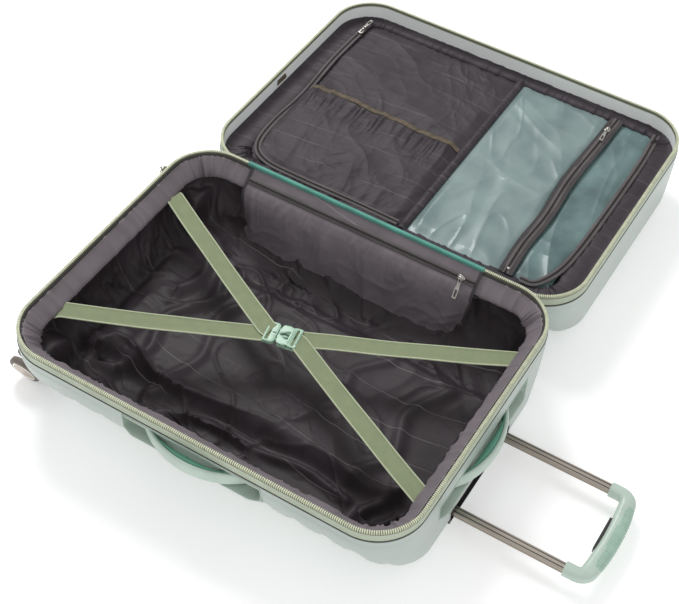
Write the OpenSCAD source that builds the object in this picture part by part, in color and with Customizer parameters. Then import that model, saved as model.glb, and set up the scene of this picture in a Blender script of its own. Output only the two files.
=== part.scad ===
// Hard shell suitcase on wheels, lying open on its back with both halves flat.
// X runs from the wheel end to the handle end, Y from the base to the lid, Z up.
// Modules are drawn about the hinge line's middle, and in_place() moves them to the frame.

/* [Case] */
// Outer length of the zipper line, wheel end to handle end
case_l = 700; // [660:5:740]
// Outer width of the zipper line of one half
case_w = 518; // [490:2:540]
// Height of the base half, floor to zipper
base_h = 167; // [164:1:176]
// Height of the lid half, floor to zipper
lid_h = 139; // [136:1:146]
// Corner radius of the zipper line seen from above
corner_r = 79; // [70:1:84]
// Wall thickness of the two shells
wall = 3; // [2.5:0.1:3.2]
// Gap between the two zipper lines when the case is open
hinge_gap = 14; // [13:0.5:16]

/* [Trolley] */
// Distance between the two tube centre lines
tube_pitch = 160; // [156:1:164]
// Height of the tube centre lines above the floor
tube_z = 30; // [29:0.5:31]
// How far the grip's outer face stands out from the zipper line
grip_reach = 236; // [210:2:250]

/* [Carry handles] */
// How far a handle's bar bows out of the wall
bar_bow = 32; // [28:1:34]
// Width of a handle's bar
bar_w = 24; // [20:1:26]

/* [Casters] */
// Radius of a wheel
wheel_r = 28; // [26:0.5:28]
// Trail from the swivel axis to the axle
trail = 15; // [13:0.5:15]

/* [Straps] */
// Width of the cross straps
strap_w = 32; // [28:1:36]

/* [Hidden] */
$fn = 96;

// Colours
mint = "#adbbb4";
cream = "#c8cdaf";
charcoal = "#4b464a";
zip_brown = "#696260";
sage = "#96a27d";
teal = "#5aa091";
champagne = "#beb4a8";
dark = "#2c2a2a";
steel = "#c4c2bd";
peva = "#8ca2a0";

// Frame: the origin is the middle of the whole object's bottom
grip_face = case_l/2 + grip_reach;
axle_x = case_l/2 + 4;
mid_x = (grip_face - axle_x - wheel_r)/2;
shell_out = 2;
bar_out = shell_out + bar_bow;
mid_y = (shell_out - bar_out)/2;

// Places
half_y = hinge_gap/2 + case_w/2;
hinge_z = (base_h + lid_h)/2;
teeth_h = 5.8;
tape_h = 17;
close_gap = 0.2;
base_top = base_h - close_gap;
lid_top = lid_h - close_gap;
base_edge = base_top - teeth_h - tape_h;
lid_edge = lid_top - teeth_h - tape_h;
floor_gap = 3;
base_roll = 127;
lid_roll = 100;
wheel_end_roll = 95;
handle_end_roll = 28;
clear = 0.3;

// Casters: seen from above, number 1 is the base's front one, 2 the base's hinge side one
caster_in = 54;
swivel_z = 48;
swivel_rest = [13, -8, 9, -14];
well_r = 50;
well_floor_x = case_l/2 - 34;
cup_floor = 4;
fork_t = 9;
tyre_w = 11;
pin_r = 4;
pin_l = 16;
axle_r = 3;

// Trolley sections: width and thickness of each tube
inner_tube = [15.5, 10.5];
middle_tube = [18.7, 13.7];
outer_tube = [21.9, 16.9];
tube_wall = 1.3;
housing_depth = 36;
housing_w = 190;
housing_t = 26;
housing_x = case_l/2 + shell_out;
housing_floor_x = housing_x - housing_depth;
outer_tube_end = -case_l/2 + 62;
middle_tube_end = -32;
inner_tube_end = 190;
grip_w = 181;
grip_t = 22;
grip_sleeve = 23;
grip_bar = 30;
grip_inner_x = grip_face - grip_bar;

// Carry handles
tray_t = 19;
tray_w = 36;
bar_t = 8;
bar_half = 95;
end_handle_z = 100;
end_tray_l = 280;
side_handle_x = 8;
side_tray_l = 244;
side_handle_z = base_edge - tray_w/2 - 1;

// Inside
buckle_at = [-8, -half_y + 4, 116];
buckle_yaw = 11;
buckle_w = 40;
buckle_t = 10;
strap_t = 1.6;
strap_end_x = case_l/2 - 22;
strap_end_y = 146;
strap_end_z = 140;
lid_floor_z = lid_edge - 12;
panel_t = 2.5;
flap_l = 441;
flap_x = -12;
flap_h = 92;
flap_t = 4;
flap_tilt = 18;
pocket_slider_x = 186;
main_slider_y = -half_y + 170;
divider_x = 18;
divider_zip_end = 200;
clear_x = 207;
lid_panel_z = lid_floor_z - panel_t;
panel_end = case_l/2 - 44;
flap_top = [-half_y + case_w/2 - 11, base_edge + 8];

module in_place() {
  translate([-mid_x, -mid_y, 0]) children();
}

// Rounded rectangle from circles and squares, so its sides stay exact
module round_rect(l, w, r) {
  for (x = [-1, 1], y = [-1, 1]) translate([x*(l/2 - r), y*(w/2 - r)]) circle(r);
  square([l, w - 2*r], center = true);
  square([l - 2*r, w], center = true);
}

// Upright section of a half: flat floor, with a roll of its own radius at each side
module tray_section(w, low, high, roll_a, roll_b) {
  translate([-w/2 + roll_a, low + roll_a]) circle(roll_a);
  translate([w/2 - roll_b, low + roll_b]) circle(roll_b);
  translate([-w/2 + roll_a, low]) square([w - roll_a - roll_b, high - low]);
  translate([-w/2, low + roll_a]) square([roll_a + 1, high - low - roll_a]);
  translate([w/2 - roll_b - 1, low + roll_b]) square([roll_b + 1, high - low - roll_b]);
}

// Solid of one half, drawn in from the shell's outer face by inset, up to the height high
module half_solid(high, roll, inset) {
  l = case_l + 2*shell_out - 2*inset;
  w = case_w + 2*shell_out - 2*inset;
  low = floor_gap + inset;
  intersection() {
    linear_extrude(high) round_rect(l, w, corner_r + shell_out - inset);
    translate([-l/2, 0, 0]) rotate([90, 0, 90]) linear_extrude(l)
      tray_section(w, low, high, roll - inset, roll - inset);
    translate([0, w/2, 0]) rotate([90, 0, 0]) linear_extrude(w)
      tray_section(l, low, high, wheel_end_roll - inset, handle_end_roll - inset);
  }
}

// Wall of one half between two insets
module half_wall(high, roll, outer, inner) {
  difference() {
    half_solid(high, roll, outer);
    half_solid(high + 1, roll, inner);
  }
}

// Upright ring that follows the zipper line
module rim_ring(low, high, outer, inner) {
  translate([0, 0, low]) linear_extrude(high - low) difference() {
    round_rect(case_l - 2*outer, case_w - 2*outer, corner_r - outer);
    round_rect(case_l - 2*inner, case_w - 2*inner, corner_r - inner);
  }
}

// Flat ribs under a shell, on which the half lies
module ribs() {
  rib_w = 18;
  for (x = [-220:70:270]) translate([x, -120, 0]) cube([rib_w, 240, floor_gap + 0.5]);
}

// Children at both caster corners of a half, on the swivel axis, +X pointing into the case
module at_casters() {
  for (side = [-1, 1])
    translate([0, side*(case_w/2 + shell_out - caster_in), swivel_z]) children();
}

module x_rod(r, from, to) {
  translate([from, 0, 0]) rotate([0, 90, 0]) cylinder(r = r, h = to - from);
}

module wheel_wells(r) {
  at_casters() x_rod(r, -case_l/2 - 12, -well_floor_x + cup_floor + clear);
}

module shell_half(edge, roll) {
  difference() {
    union() {
      half_wall(edge, roll, 0, wall);
      ribs();
    }
    wheel_wells(well_r + clear);
  }
}

// Cups that line the wheel wells, each with a floor that carries the swivel pin
module caster_housings(edge, roll) {
  cup_t = 2;
  difference() {
    intersection() {
      half_solid(edge, roll, 0);
      at_casters() difference() {
        x_rod(well_r, -case_l/2 - 4, -well_floor_x + cup_floor);
        x_rod(well_r - cup_t, -case_l/2 - 5, -well_floor_x);
      }
    }
    at_casters() x_rod(pin_r + 0.05, -case_l/2, -well_floor_x + pin_l);
  }
  at_casters() difference() {
    x_rod(9, -well_floor_x + cup_floor, -well_floor_x + pin_l);
    x_rod(pin_r + 0.05, -well_floor_x, -well_floor_x + pin_l + 1);
  }
}

// Centre of a caster's swivel axis in the case, by number
function caster_y(n) =
  (n < 3 ? -1 : 1)*(half_y + (n == 1 || n == 4 ? 1 : -1)*(case_w/2 + shell_out - caster_in));

// Children drawn with the swivel axis along X and the axle along Y, hung at the rest angle
module caster_place(n) {
  in_place() translate([0, caster_y(n), swivel_z]) rotate([swivel_rest[n - 1], 0, 0]) children();
}

module y_rod(r, length) {
  rotate([90, 0, 0]) cylinder(r = r, h = length, center = true);
}

module fork(n) {
  disc_x = -well_floor_x - 5;
  color(dark) caster_place(n) {
    x_rod(17, disc_x, disc_x + 3.5);
    x_rod(pin_r, disc_x + 3.5, disc_x + pin_l + 3);
    difference() {
      union() {
        rotate([90, 0, 0]) linear_extrude(fork_t, center = true)
          polygon([[disc_x + 1, 15], [disc_x + 1, -17],
            [-axle_x, -trail - 10], [-axle_x - 6, -trail + 8]]);
        translate([-axle_x, 0, -trail]) y_rod(10, fork_t);
      }
      translate([-axle_x, 0, -trail]) y_rod(axle_r + 0.05, fork_t + 2);
    }
  }
}

// Children on the wheel's centre
module on_axle(n) {
  caster_place(n) translate([-axle_x, 0, -trail]) children();
}

module tyres(n) {
  rim_r = wheel_r - 6;
  off = fork_t/2 + 0.4 + tyre_w/2;
  color(zip_brown) on_axle(n) for (side = [-1, 1]) translate([0, side*off, 0]) difference() {
    y_rod(wheel_r, tyre_w);
    y_rod(rim_r, tyre_w + 1);
  }
}

// Two hubs with their caps, joined by the axle
module hubs(n) {
  rim_r = wheel_r - 6;
  off = fork_t/2 + 0.4 + tyre_w/2;
  color(champagne) on_axle(n) {
    y_rod(axle_r, 2*off);
    for (side = [-1, 1]) translate([0, side*off, 0]) {
      y_rod(rim_r, tyre_w);
      translate([0, side*tyre_w/2, 0]) y_rod(rim_r - 2, 2);
    }
  }
}

module base_place() {
  in_place() translate([0, -half_y, 0]) children();
}

module lid_place() {
  in_place() translate([0, half_y, 0]) children();
}

module base_shell() {
  color(mint) base_place() difference() {
    shell_half(base_edge, base_roll);
    translate([housing_x - housing_depth - 4, -housing_w/2 - clear, tube_z - housing_t/2 - 3 - clear])
      cube([housing_depth + 10, housing_w + 2*clear, housing_t + 6 + 2*clear]);
    translate([case_l/2 - tray_t, -end_tray_l/2 - clear, end_handle_z - tray_w/2 - clear])
      cube([tray_t + 10, end_tray_l + 2*clear, tray_w + 2*clear]);
    translate([side_handle_x - side_tray_l/2 - clear, -case_w/2 - 10, side_handle_z - tray_w/2 - clear])
      cube([side_tray_l + 2*clear, tray_t + 10, tray_w + 2*clear]);
  }
}

module lid_shell() {
  color(mint) lid_place() shell_half(lid_edge, lid_roll);
}

// Zipper tape and, on top of it, the row of teeth
module zipper(edge, top) {
  rim_ring(edge - 14, top - teeth_h, wall - shell_out + 0.4, wall - shell_out + 2.4);
  rim_ring(top - teeth_h, top, -0.5, 5);
}

module base_zipper() {
  color(cream) base_place() difference() {
    zipper(base_edge, base_top);
    side_tray_space();
  }
}

module lid_zipper() {
  color(cream) lid_place() zipper(lid_edge, lid_top);
}

// Space taken by the tubes, the grip's pocket, the handle trays and the casters, which the
// lining goes round. The cloth on it is grow thick.
module base_fittings(grow) {
  tunnel_w = tube_pitch + 60;
  tunnel_top = 48;
  tunnel_in = 40;
  end_box_l = end_tray_l + 10;
  end_box_top = end_handle_z + tray_w/2 + 6;
  below = 10;
  translate([-case_l/2 + tunnel_in - grow, -tunnel_w/2 - grow, -below])
    cube([case_l - 2*tunnel_in + 2*grow, tunnel_w + 2*grow, tunnel_top + below + grow]);
  translate([housing_floor_x - 8 - grow, -end_box_l/2 - grow, -below])
    cube([60, end_box_l + 2*grow, end_box_top + below + grow]);
  translate([side_handle_x - side_tray_l/2 - 4, -case_w/2 - 2, side_handle_z - tray_w/2 - 3 - grow])
    cube([side_tray_l + 8, tray_t + 5 + grow, tray_w + 10]);
  at_casters() x_rod(well_r + 3 + grow, -case_l/2 - 12, -well_floor_x + pin_l + 1 + grow);
}

// Space of the side handle's tray, with a little room round it
module side_tray_space() {
  translate([side_handle_x - side_tray_l/2 - 1, -case_w/2 - 10, side_handle_z - tray_w/2 - 1])
    cube([side_tray_l + 2, tray_t + 10, tray_w + 1.4]);
}

module base_lining() {
  cloth = 1.6;
  inset = wall + 2.8;
  lining_top = base_edge - 12;
  color(charcoal) base_place() difference() {
    difference() {
      half_solid(lining_top, base_roll, inset);
      base_fittings(0);
    }
    difference() {
      half_solid(lining_top + 1, base_roll, inset + cloth);
      base_fittings(cloth);
    }
  }
}

module base_trim_band() {
  color(charcoal) base_place() difference() {
    rim_ring(base_edge - 11.5, base_top - teeth_h - 0.5, 5.6, 7.6);
    side_tray_space();
  }
}

// Children on the pocket flap: X along its top edge, -Z down it, its face towards -Y
module on_flap() {
  in_place() translate([flap_x, flap_top[0], flap_top[1]]) rotate([-flap_tilt, 0, 0]) children();
}

module pocket_flap() {
  color(charcoal) on_flap() translate([-flap_l/2, -flap_t, -flap_h]) cube([flap_l, flap_t, flap_h]);
}

module pocket_zip() {
  color(zip_brown) on_flap() translate([-flap_l/2 + 4, -flap_t - 1.5, -28]) cube([flap_l - 8, 1.5, 14]);
}

module pocket_slider() {
  color(steel) on_flap() translate([pocket_slider_x, -flap_t - 1.8 - 4, -26]) cube([13, 4, 10]);
}

module pocket_puller() {
  color(steel) on_flap() translate([pocket_slider_x + 3, -flap_t - 1.8 - 6.4, -56]) cube([7, 2, 34]);
}

// A flat strap between two points
module strap(from, to) {
  d = to - from;
  translate(from) rotate([0, -asin(d[2]/norm(d)), atan2(d[1], d[0])])
    translate([0, -strap_w/2, -strap_t/2]) cube([norm(d), strap_w, strap_t]);
}

// The two straps of one end, from the buckle to the corners
module strap_pair(side) {
  start = buckle_at + side*31*[cos(buckle_yaw), sin(buckle_yaw), 0];
  for (corner = [-1, 1])
    strap(start, [side*strap_end_x, -half_y + corner*strap_end_y, strap_end_z + corner]);
}

module wheel_end_straps() {
  color(sage) in_place() difference() {
    strap_pair(-1);
    translate(buckle_at) rotate([0, 0, buckle_yaw]) translate([-28.5, -40, -20]) cube([80, 80, 60]);
  }
}

module handle_end_straps() {
  color(sage) in_place() difference() {
    strap_pair(1);
    translate(buckle_at) rotate([0, 0, buckle_yaw]) translate([-51.5, -40, -20]) cube([80, 80, 60]);
  }
}

module on_buckle() {
  in_place() translate(buckle_at) rotate([0, 0, buckle_yaw]) children();
}

// Prongs of the plug, made larger by grow for the socket's cavity
module prongs(grow) {
  for (y = [-14, 0, 14]) translate([-8, y - 3 - grow, -2 - grow]) cube([20 + grow, 6 + 2*grow, 4 + 2*grow]);
}

module buckle_socket() {
  color(mint) on_buckle() difference() {
    translate([-7, -buckle_w/2, -buckle_t/2]) cube([35, buckle_w, buckle_t]);
    translate([0.6, 0, 0]) prongs(0.4);
    translate([20, -17, -6]) cube([4, 34, 12]);
  }
}

module buckle_plug() {
  color(mint) on_buckle() {
    difference() {
      translate([-28, -buckle_w/2, -buckle_t/2 + 1]) cube([20.4, buckle_w, buckle_t - 2]);
      translate([-24, -17, -6]) cube([4, 34, 12]);
    }
    prongs(0);
  }
}

// Slider and puller of the main zipper, parked outside the wheel end's rim near the hinge
module main_slider() {
  color(steel) in_place() translate([-case_l/2 - shell_out - 7.5, main_slider_y - 7, base_top - 13])
    cube([7, 14, 12]);
}

module main_puller() {
  color(steel) in_place() translate([-case_l/2 - shell_out - 10, main_slider_y - 4, base_top - 44])
    cube([2, 8, 40]);
}

// Section of a tube with two grooves in its upper and lower faces and one in each side
module tube_section(size) {
  groove = 0.6;
  difference() {
    round_rect(size[0], size[1], 2.5);
    round_rect(size[0] - 2*tube_wall, size[1] - 2*tube_wall, 1.2);
    for (y = [-1, 1], x = [-0.22, 0.22])
      translate([x*size[0], y*size[1]/2]) square([1.8, 2*groove], center = true);
    for (x = [-1, 1]) translate([x*size[0]/2, 0]) square([2*groove, 2.4], center = true);
  }
}

// The same stretch of tube on both sides, from one X to another
module tube_pair(size, from, to) {
  for (side = [-1, 1])
    translate([from, -half_y + side*tube_pitch/2, tube_z]) rotate([90, 0, 90])
      linear_extrude(to - from) tube_section(size);
}

module plain_tubes(size, bore, from, to) {
  for (side = [-1, 1])
    translate([from, -half_y + side*tube_pitch/2, tube_z]) rotate([90, 0, 90])
      linear_extrude(to - from) difference() {
        round_rect(size[0], size[1], 3);
        round_rect(bore[0], bore[1], 2.8);
      }
}

module outer_tubes() {
  bore = middle_tube + 2*[clear, clear];
  color(steel) in_place() plain_tubes(outer_tube, bore, outer_tube_end, housing_floor_x - 3.8);
}

module middle_tubes() {
  bore = inner_tube + 2*[clear, clear];
  color(steel) in_place() plain_tubes(middle_tube, bore, middle_tube_end, housing_floor_x);
}

module inner_tubes() {
  color(champagne) in_place() tube_pair(inner_tube, inner_tube_end, grip_inner_x - 6);
}

// Block that holds the outer tubes' lower ends
module tube_foot() {
  foot_l = 22;
  color(dark) in_place() difference() {
    translate([outer_tube_end - 5, -half_y - tube_pitch/2 - 16, tube_z - 12])
      cube([foot_l, tube_pitch + 32, 24]);
    for (side = [-1, 1]) translate([outer_tube_end, -half_y + side*tube_pitch/2, tube_z])
      rotate([90, 0, 90]) linear_extrude(foot_l) round_rect(outer_tube[0] + 0.1, outer_tube[1] + 0.1, 3);
  }
}

// Pocket that takes the grip, with the two holes through which the tubes slide
module trolley_housing() {
  plate = 3.5;
  color(dark) in_place() translate([0, -half_y, tube_z]) difference() {
    translate([housing_floor_x - plate, -housing_w/2, -housing_t/2 - 3])
      cube([housing_depth + plate, housing_w, housing_t + 6]);
    translate([housing_floor_x, -housing_w/2 + 2.5, -housing_t/2])
      cube([housing_depth + 1, housing_w - 5, housing_t]);
    for (side = [-1, 1])
      translate([housing_floor_x - plate - 1, side*tube_pitch/2, 0]) rotate([90, 0, 90])
        linear_extrude(plate + 2) round_rect(middle_tube[0] + 2*clear, middle_tube[1] + 2*clear, 3.3);
  }
}

// Grip outline seen from above: two sleeves and a bowed cross bar
module grip_outline() {
  bow_r = 360;
  opening = tube_pitch - 41;
  difference() {
    intersection() {
      translate([grip_face - bow_r, 0]) circle(bow_r, $fn = 360);
      union() {
        for (side = [-1, 1]) {
          translate([grip_face - 34, side*(grip_w/2 - 22)]) circle(22);
          translate([grip_inner_x - grip_sleeve, side*(grip_w/2 - 11) - 11]) square([50, 22]);
        }
        translate([grip_inner_x - 10, -grip_w/2 + 22]) square([grip_bar + 10, grip_w - 44]);
      }
    }
    for (side = [-1, 1]) translate([grip_inner_x - 10, side*(opening/2 - 10)]) circle(10);
    translate([grip_inner_x - grip_sleeve - 20, -grip_w/2 - 1]) square([20, grip_w + 2]);
    translate([grip_inner_x - 60, -opening/2]) square([50, opening]);
    translate([grip_inner_x - 20, -opening/2 + 10]) square([20, opening - 20]);
  }
}

module trolley_grip() {
  color(mint) in_place() translate([0, -half_y, tube_z]) difference() {
    translate([0, 0, -grip_t/2]) linear_extrude(grip_t) grip_outline();
    for (side = [-1, 1])
      translate([grip_inner_x - grip_sleeve - 1, side*tube_pitch/2, 0]) rotate([90, 0, 90])
        linear_extrude(grip_sleeve + 1 - 6) round_rect(inner_tube[0] + 0.1, inner_tube[1] + 0.1, 2.2);
    translate([grip_inner_x + 4, -tube_pitch/2 - 5, -4]) cube([13, tube_pitch + 10, 8]);
    translate([grip_inner_x - 1, -31, -6.5]) cube([18, 62, 13]);
    for (side = [-1, 1]) translate([0, side*tube_pitch/2, 0])
      x_rod(2.2, grip_inner_x - 7, grip_inner_x + 5);
  }
}

module grip_trigger() {
  color(dark) in_place() translate([0, -half_y, tube_z])
    translate([grip_inner_x - 2, -30.5, -6]) cube([8, 61, 12]);
}

module release_rods() {
  color(steel) in_place() translate([0, -half_y, tube_z]) {
    translate([grip_inner_x + 6.2, -tube_pitch/2 - 3, -3]) cube([5, tube_pitch + 6, 6]);
    for (side = [-1, 1]) translate([0, side*tube_pitch/2, 0])
      x_rod(1.6, inner_tube_end - 4, grip_inner_x + 7);
  }
}

// Tray of a carry handle: a dish let into the wall, face at Y = 0 and pointing to -Y.
// Covers over its two ends hold the bar's tongues in.
module handle_tray(length) {
  cover = 1.8;
  cover_l = length/2 - bar_half + 8;
  difference() {
    translate([-length/2, -shell_out, -tray_w/2]) cube([length, tray_t, tray_w]);
    translate([-length/2 + 2, -shell_out - 1, -tray_w/2 + 3]) cube([length - 4, tray_t - 1.5, tray_w - 6]);
  }
  for (side = [-1, 1])
    translate([side*(length/2 - 1 - cover_l/2) - cover_l/2, -shell_out, -tray_w/2 + 2])
      cube([cover_l, cover, tray_w - 4]);
}

// Bowed bar with a flat tongue at each end, in the tray's own axes
module handle_bar() {
  seat = 11;
  sag = bar_bow + shell_out + seat;
  arc_r = (bar_half*bar_half + sag*sag)/(2*sag);
  translate([0, 0, -bar_w/2]) linear_extrude(bar_w) intersection() {
    translate([0, -bar_bow - shell_out + arc_r]) difference() {
      circle(arc_r, $fn = 240);
      circle(arc_r - bar_t, $fn = 240);
    }
    translate([-bar_half + 10, -bar_bow - shell_out - 1]) square([2*bar_half - 20, sag]);
  }
}

module bar_with_tongues() {
  handle_bar();
  for (side = [-1, 1])
    translate([side*(bar_half - 4) - 15, 8.5, -bar_w/2 + 1]) cube([30, 4, bar_w - 2]);
}

module at_end_handle() {
  in_place() translate([case_l/2, -half_y, end_handle_z]) rotate([0, 0, 90]) children();
}

module at_side_handle() {
  in_place() translate([side_handle_x, -half_y - case_w/2, side_handle_z]) children();
}

module end_handle_tray() {
  color(teal) at_end_handle() handle_tray(end_tray_l);
}

module end_handle_bar() {
  color(mint) at_end_handle() bar_with_tongues();
}

module side_handle_tray() {
  color(teal) at_side_handle() handle_tray(side_tray_l);
}

module side_handle_bar() {
  color(mint) at_side_handle() bar_with_tongues();
}

module base_caster_housings() {
  color(dark) base_place() caster_housings(base_edge, base_roll);
}

module lid_caster_housings() {
  color(dark) lid_place() caster_housings(lid_edge, lid_roll);
}

// Cloth strip that joins the two halves, kept close to the hinge axis
module hinge_web() {
  web_l = 450;
  web_w = 17;
  web_tilt = -47;
  color(teal) in_place() translate([-16, 0, hinge_z]) rotate([web_tilt, 0, 0])
    cube([web_l, web_w, 1.4], center = true);
}

// Cloth on the lid's inside, with a flat margin round the panels that close the lid
module lid_lining() {
  cloth = 1.6;
  inset = wall + 3;
  margin = 42;
  color(charcoal) lid_place() difference() {
    half_solid(lid_floor_z, lid_roll, inset);
    intersection() {
      half_solid(lid_floor_z + 1, lid_roll, inset + cloth);
      translate([-case_l/2, -case_w/2, 0]) cube([case_l, case_w, lid_floor_z - panel_t]);
    }
    translate([-case_l/2 + margin, -case_w/2 + margin, lid_floor_z - 10])
      cube([case_l - 2*margin, case_w - 2*margin, 20]);
    wheel_wells(well_r + 3);
    at_casters() x_rod(14, -well_floor_x - 1, -well_floor_x + pin_l + 4);
  }
}

// Flat panel that closes the lid, between two X values
module lid_slab(from, to, low, thick) {
  slab_w = case_w - 2*44;
  lid_place() translate([from, -slab_w/2, low]) cube([to - from, slab_w, thick]);
}

module divider_panel() {
  color(charcoal) lid_slab(-panel_end, divider_x - 0.5, lid_panel_z, panel_t);
}

module gathered_band() {
  color(zip_brown) lid_slab(divider_x, divider_x + 12, lid_panel_z, panel_t + 1);
}

module clear_panel() {
  color(peva) lid_slab(divider_x + 12.5, clear_x - 0.5, lid_panel_z, panel_t - 1);
}

module clear_panel_zip() {
  color(zip_brown) lid_slab(clear_x, clear_x + 20, lid_panel_z, panel_t);
}

module lower_clear_panel() {
  color(peva) lid_slab(clear_x + 20.5, panel_end - 12.5, lid_panel_z, panel_t - 1);
}

module lower_zip() {
  color(zip_brown) lid_slab(panel_end - 12, panel_end, lid_panel_z, panel_t);
}

// C-shaped zip along the wheel end and the hinge side of the divider
module divider_zip() {
  color(zip_brown) lid_place() translate([0, 0, lid_floor_z + 0.3]) linear_extrude(1.5) difference() {
    round_rect(2*panel_end, case_w - 88, 36);
    round_rect(2*panel_end - 22, case_w - 110, 26);
    translate([divider_x - 2, -case_w/2]) square([case_l, case_w]);
    translate([-case_l/2, divider_zip_end]) square([case_l, case_w]);
  }
}

module divider_slider() {
  color(steel) lid_place() translate([-panel_end + 0.5, divider_zip_end - 16, lid_floor_z + 2.1]) {
    cube([10, 14, 5]);
    translate([2.5, 12, 5.1]) cube([5, 32, 2]);
  }
}

module clear_panel_slider() {
  color(steel) lid_place() translate([clear_x + 5, 190, lid_floor_z + 0.3]) {
    cube([10, 14, 5]);
    translate([2.5, -22, 5.1]) cube([5, 32, 2]);
  }
}

module elastic_band() {
  band_l = 300;
  color(cream) lid_place() translate([-285, 0, lid_floor_z + 0.3]) cube([band_l, 12, 1.2]);
}

base_shell();
base_zipper();
base_lining();
base_trim_band();
pocket_flap();
pocket_zip();
pocket_slider();
pocket_puller();
wheel_end_straps();
handle_end_straps();
buckle_socket();
buckle_plug();
main_slider();
main_puller();
outer_tubes();
tube_foot();
trolley_housing();
middle_tubes();
inner_tubes();
trolley_grip();
grip_trigger();
release_rods();
end_handle_tray();
end_handle_bar();
side_handle_tray();
side_handle_bar();
base_caster_housings();
lid_caster_housings();
for (n = [1:4]) {
  fork(n);
  tyres(n);
  hubs(n);
}
hinge_web();
lid_shell();
lid_zipper();
lid_lining();
divider_panel();
divider_zip();
divider_slider();
elastic_band();
gathered_band();
clear_panel();
clear_panel_zip();
clear_panel_slider();
lower_clear_panel();
lower_zip();
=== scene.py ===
"""Looks of a hard shell suitcase that lies open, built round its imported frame."""

import math

import bmesh
import bpy
import numpy as np
from mathutils import Matrix, Vector


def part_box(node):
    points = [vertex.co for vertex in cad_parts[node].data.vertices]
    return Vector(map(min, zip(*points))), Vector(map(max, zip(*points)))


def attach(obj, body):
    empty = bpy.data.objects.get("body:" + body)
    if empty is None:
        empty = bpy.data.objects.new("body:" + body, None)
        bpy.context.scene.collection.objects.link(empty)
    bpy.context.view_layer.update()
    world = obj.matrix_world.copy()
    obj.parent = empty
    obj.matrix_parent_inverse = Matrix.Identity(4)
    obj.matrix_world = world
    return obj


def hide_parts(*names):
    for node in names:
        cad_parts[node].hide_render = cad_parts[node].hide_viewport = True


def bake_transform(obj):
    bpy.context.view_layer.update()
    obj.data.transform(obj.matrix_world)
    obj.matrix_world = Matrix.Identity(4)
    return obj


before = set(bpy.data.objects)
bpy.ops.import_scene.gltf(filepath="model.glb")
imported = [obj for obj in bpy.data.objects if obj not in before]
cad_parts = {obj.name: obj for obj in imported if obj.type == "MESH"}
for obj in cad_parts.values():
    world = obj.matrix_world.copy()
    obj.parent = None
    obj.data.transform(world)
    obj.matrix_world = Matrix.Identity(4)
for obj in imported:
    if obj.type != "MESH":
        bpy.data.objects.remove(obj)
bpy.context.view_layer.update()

MM = 0.001
UP = np.array([0, 0, 1.0])


# ---------------------------------------------------------------- places, in millimetres


def box_mm(node):
    low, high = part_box(node)
    return np.array(low) / MM, np.array(high) / MM


def middle(node):
    low, high = box_mm(node)
    return (low + high) / 2


class Half:
    """One half of the case: its middle, its zipper line, and the heights that matter."""

    def __init__(self, name, inwards):
        low, high = box_mm(name + "_zipper")
        self.name = name
        self.inwards = inwards  # +1 where the hinge is on the +Y side
        self.x, self.y = (low[0] + high[0]) / 2, (low[1] + high[1]) / 2
        self.top = high[2]
        self.edge = box_mm(name + "_shell")[1][2]

    def place(self, points):
        return np.asarray(points, float) + [self.x, self.y, 0]


BASE, LID = Half("base", 1), Half("lid", -1)
_low, _high = box_mm("base_zipper")
TEETH_OUT = 0.5
LINE_L = (_high[0] - _low[0]) / 2 - TEETH_OUT  # half the zipper line's length
LINE_W = (_high[1] - _low[1]) / 2 - TEETH_OUT
LINE_R = 79  # radius of the zipper line's corners
SHELL_OUT = 2  # the shell stands outside the zipper line
WALL = 3
FLOOR_GAP = 3
WHEEL_END_R, HANDLE_END_R = 95, 28  # round corners between the back and the ends
FLUTE_PITCH, FLUTE_DEPTH = 50, 2.4
TEETH_PITCH = 3.3
LID_FLOOR = box_mm("divider_panel")[1][2]
WELL_R, WELL_Z = 50, 48  # the wheel wells' radius and height
WELL_IN = 54  # from the shell's side in to a well's middle
TUBE_Z = middle("inner_tubes")[2]


# ---------------------------------------------------------------- mesh helpers


def grid_faces(rows, columns, close_rows=False, close_columns=False):
    """Four-sided faces over rows and columns of points."""
    i = np.arange(rows if close_rows else rows - 1)
    j = np.arange(columns if close_columns else columns - 1)
    i, j = np.meshgrid(i, j, indexing="ij")
    k, m = (i + 1) % rows, (j + 1) % columns
    quads = [i * columns + j, k * columns + j, k * columns + m, i * columns + m]
    return np.stack(quads, -1).reshape(-1, 4)


def closed_grid(points):
    """Faces of a tube of points given as rows, with its two ends closed."""
    rows, columns = points.shape[:2]
    faces = grid_faces(rows, columns, False, True).tolist()
    return faces + [list(range(columns)), list(range((rows - 1) * columns, rows * columns))]


def grid_normals(points, close_rows=False, close_columns=False):
    """Unit normals of a surface given as rows and columns of points."""

    def slope(axis, closed):
        if closed:
            return np.roll(points, -1, axis) - np.roll(points, 1, axis)
        return np.gradient(points, axis=axis)

    normal = np.cross(slope(0, close_rows), slope(1, close_columns))
    return normal / np.maximum(np.linalg.norm(normal, axis=-1, keepdims=True), 1e-9)


def shown(name, data):
    """A new object in the scene with that mesh, light or camera."""
    thing = bpy.data.objects.new(name, data)
    bpy.context.scene.collection.objects.link(thing)
    return thing


def make(name, points, faces, look, smooth_angle=40):
    """A mesh object from points in millimetres."""
    mesh = bpy.data.meshes.new(name)
    flat = np.asarray(points, float).reshape(-1, 3) * MM
    mesh.from_pydata(flat.tolist(), [], faces if isinstance(faces, list) else faces.tolist())
    piece = shown(name, mesh)
    finish_mesh(mesh, smooth_angle)
    if look is not None:
        mesh.materials.append(look)
    return piece


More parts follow.
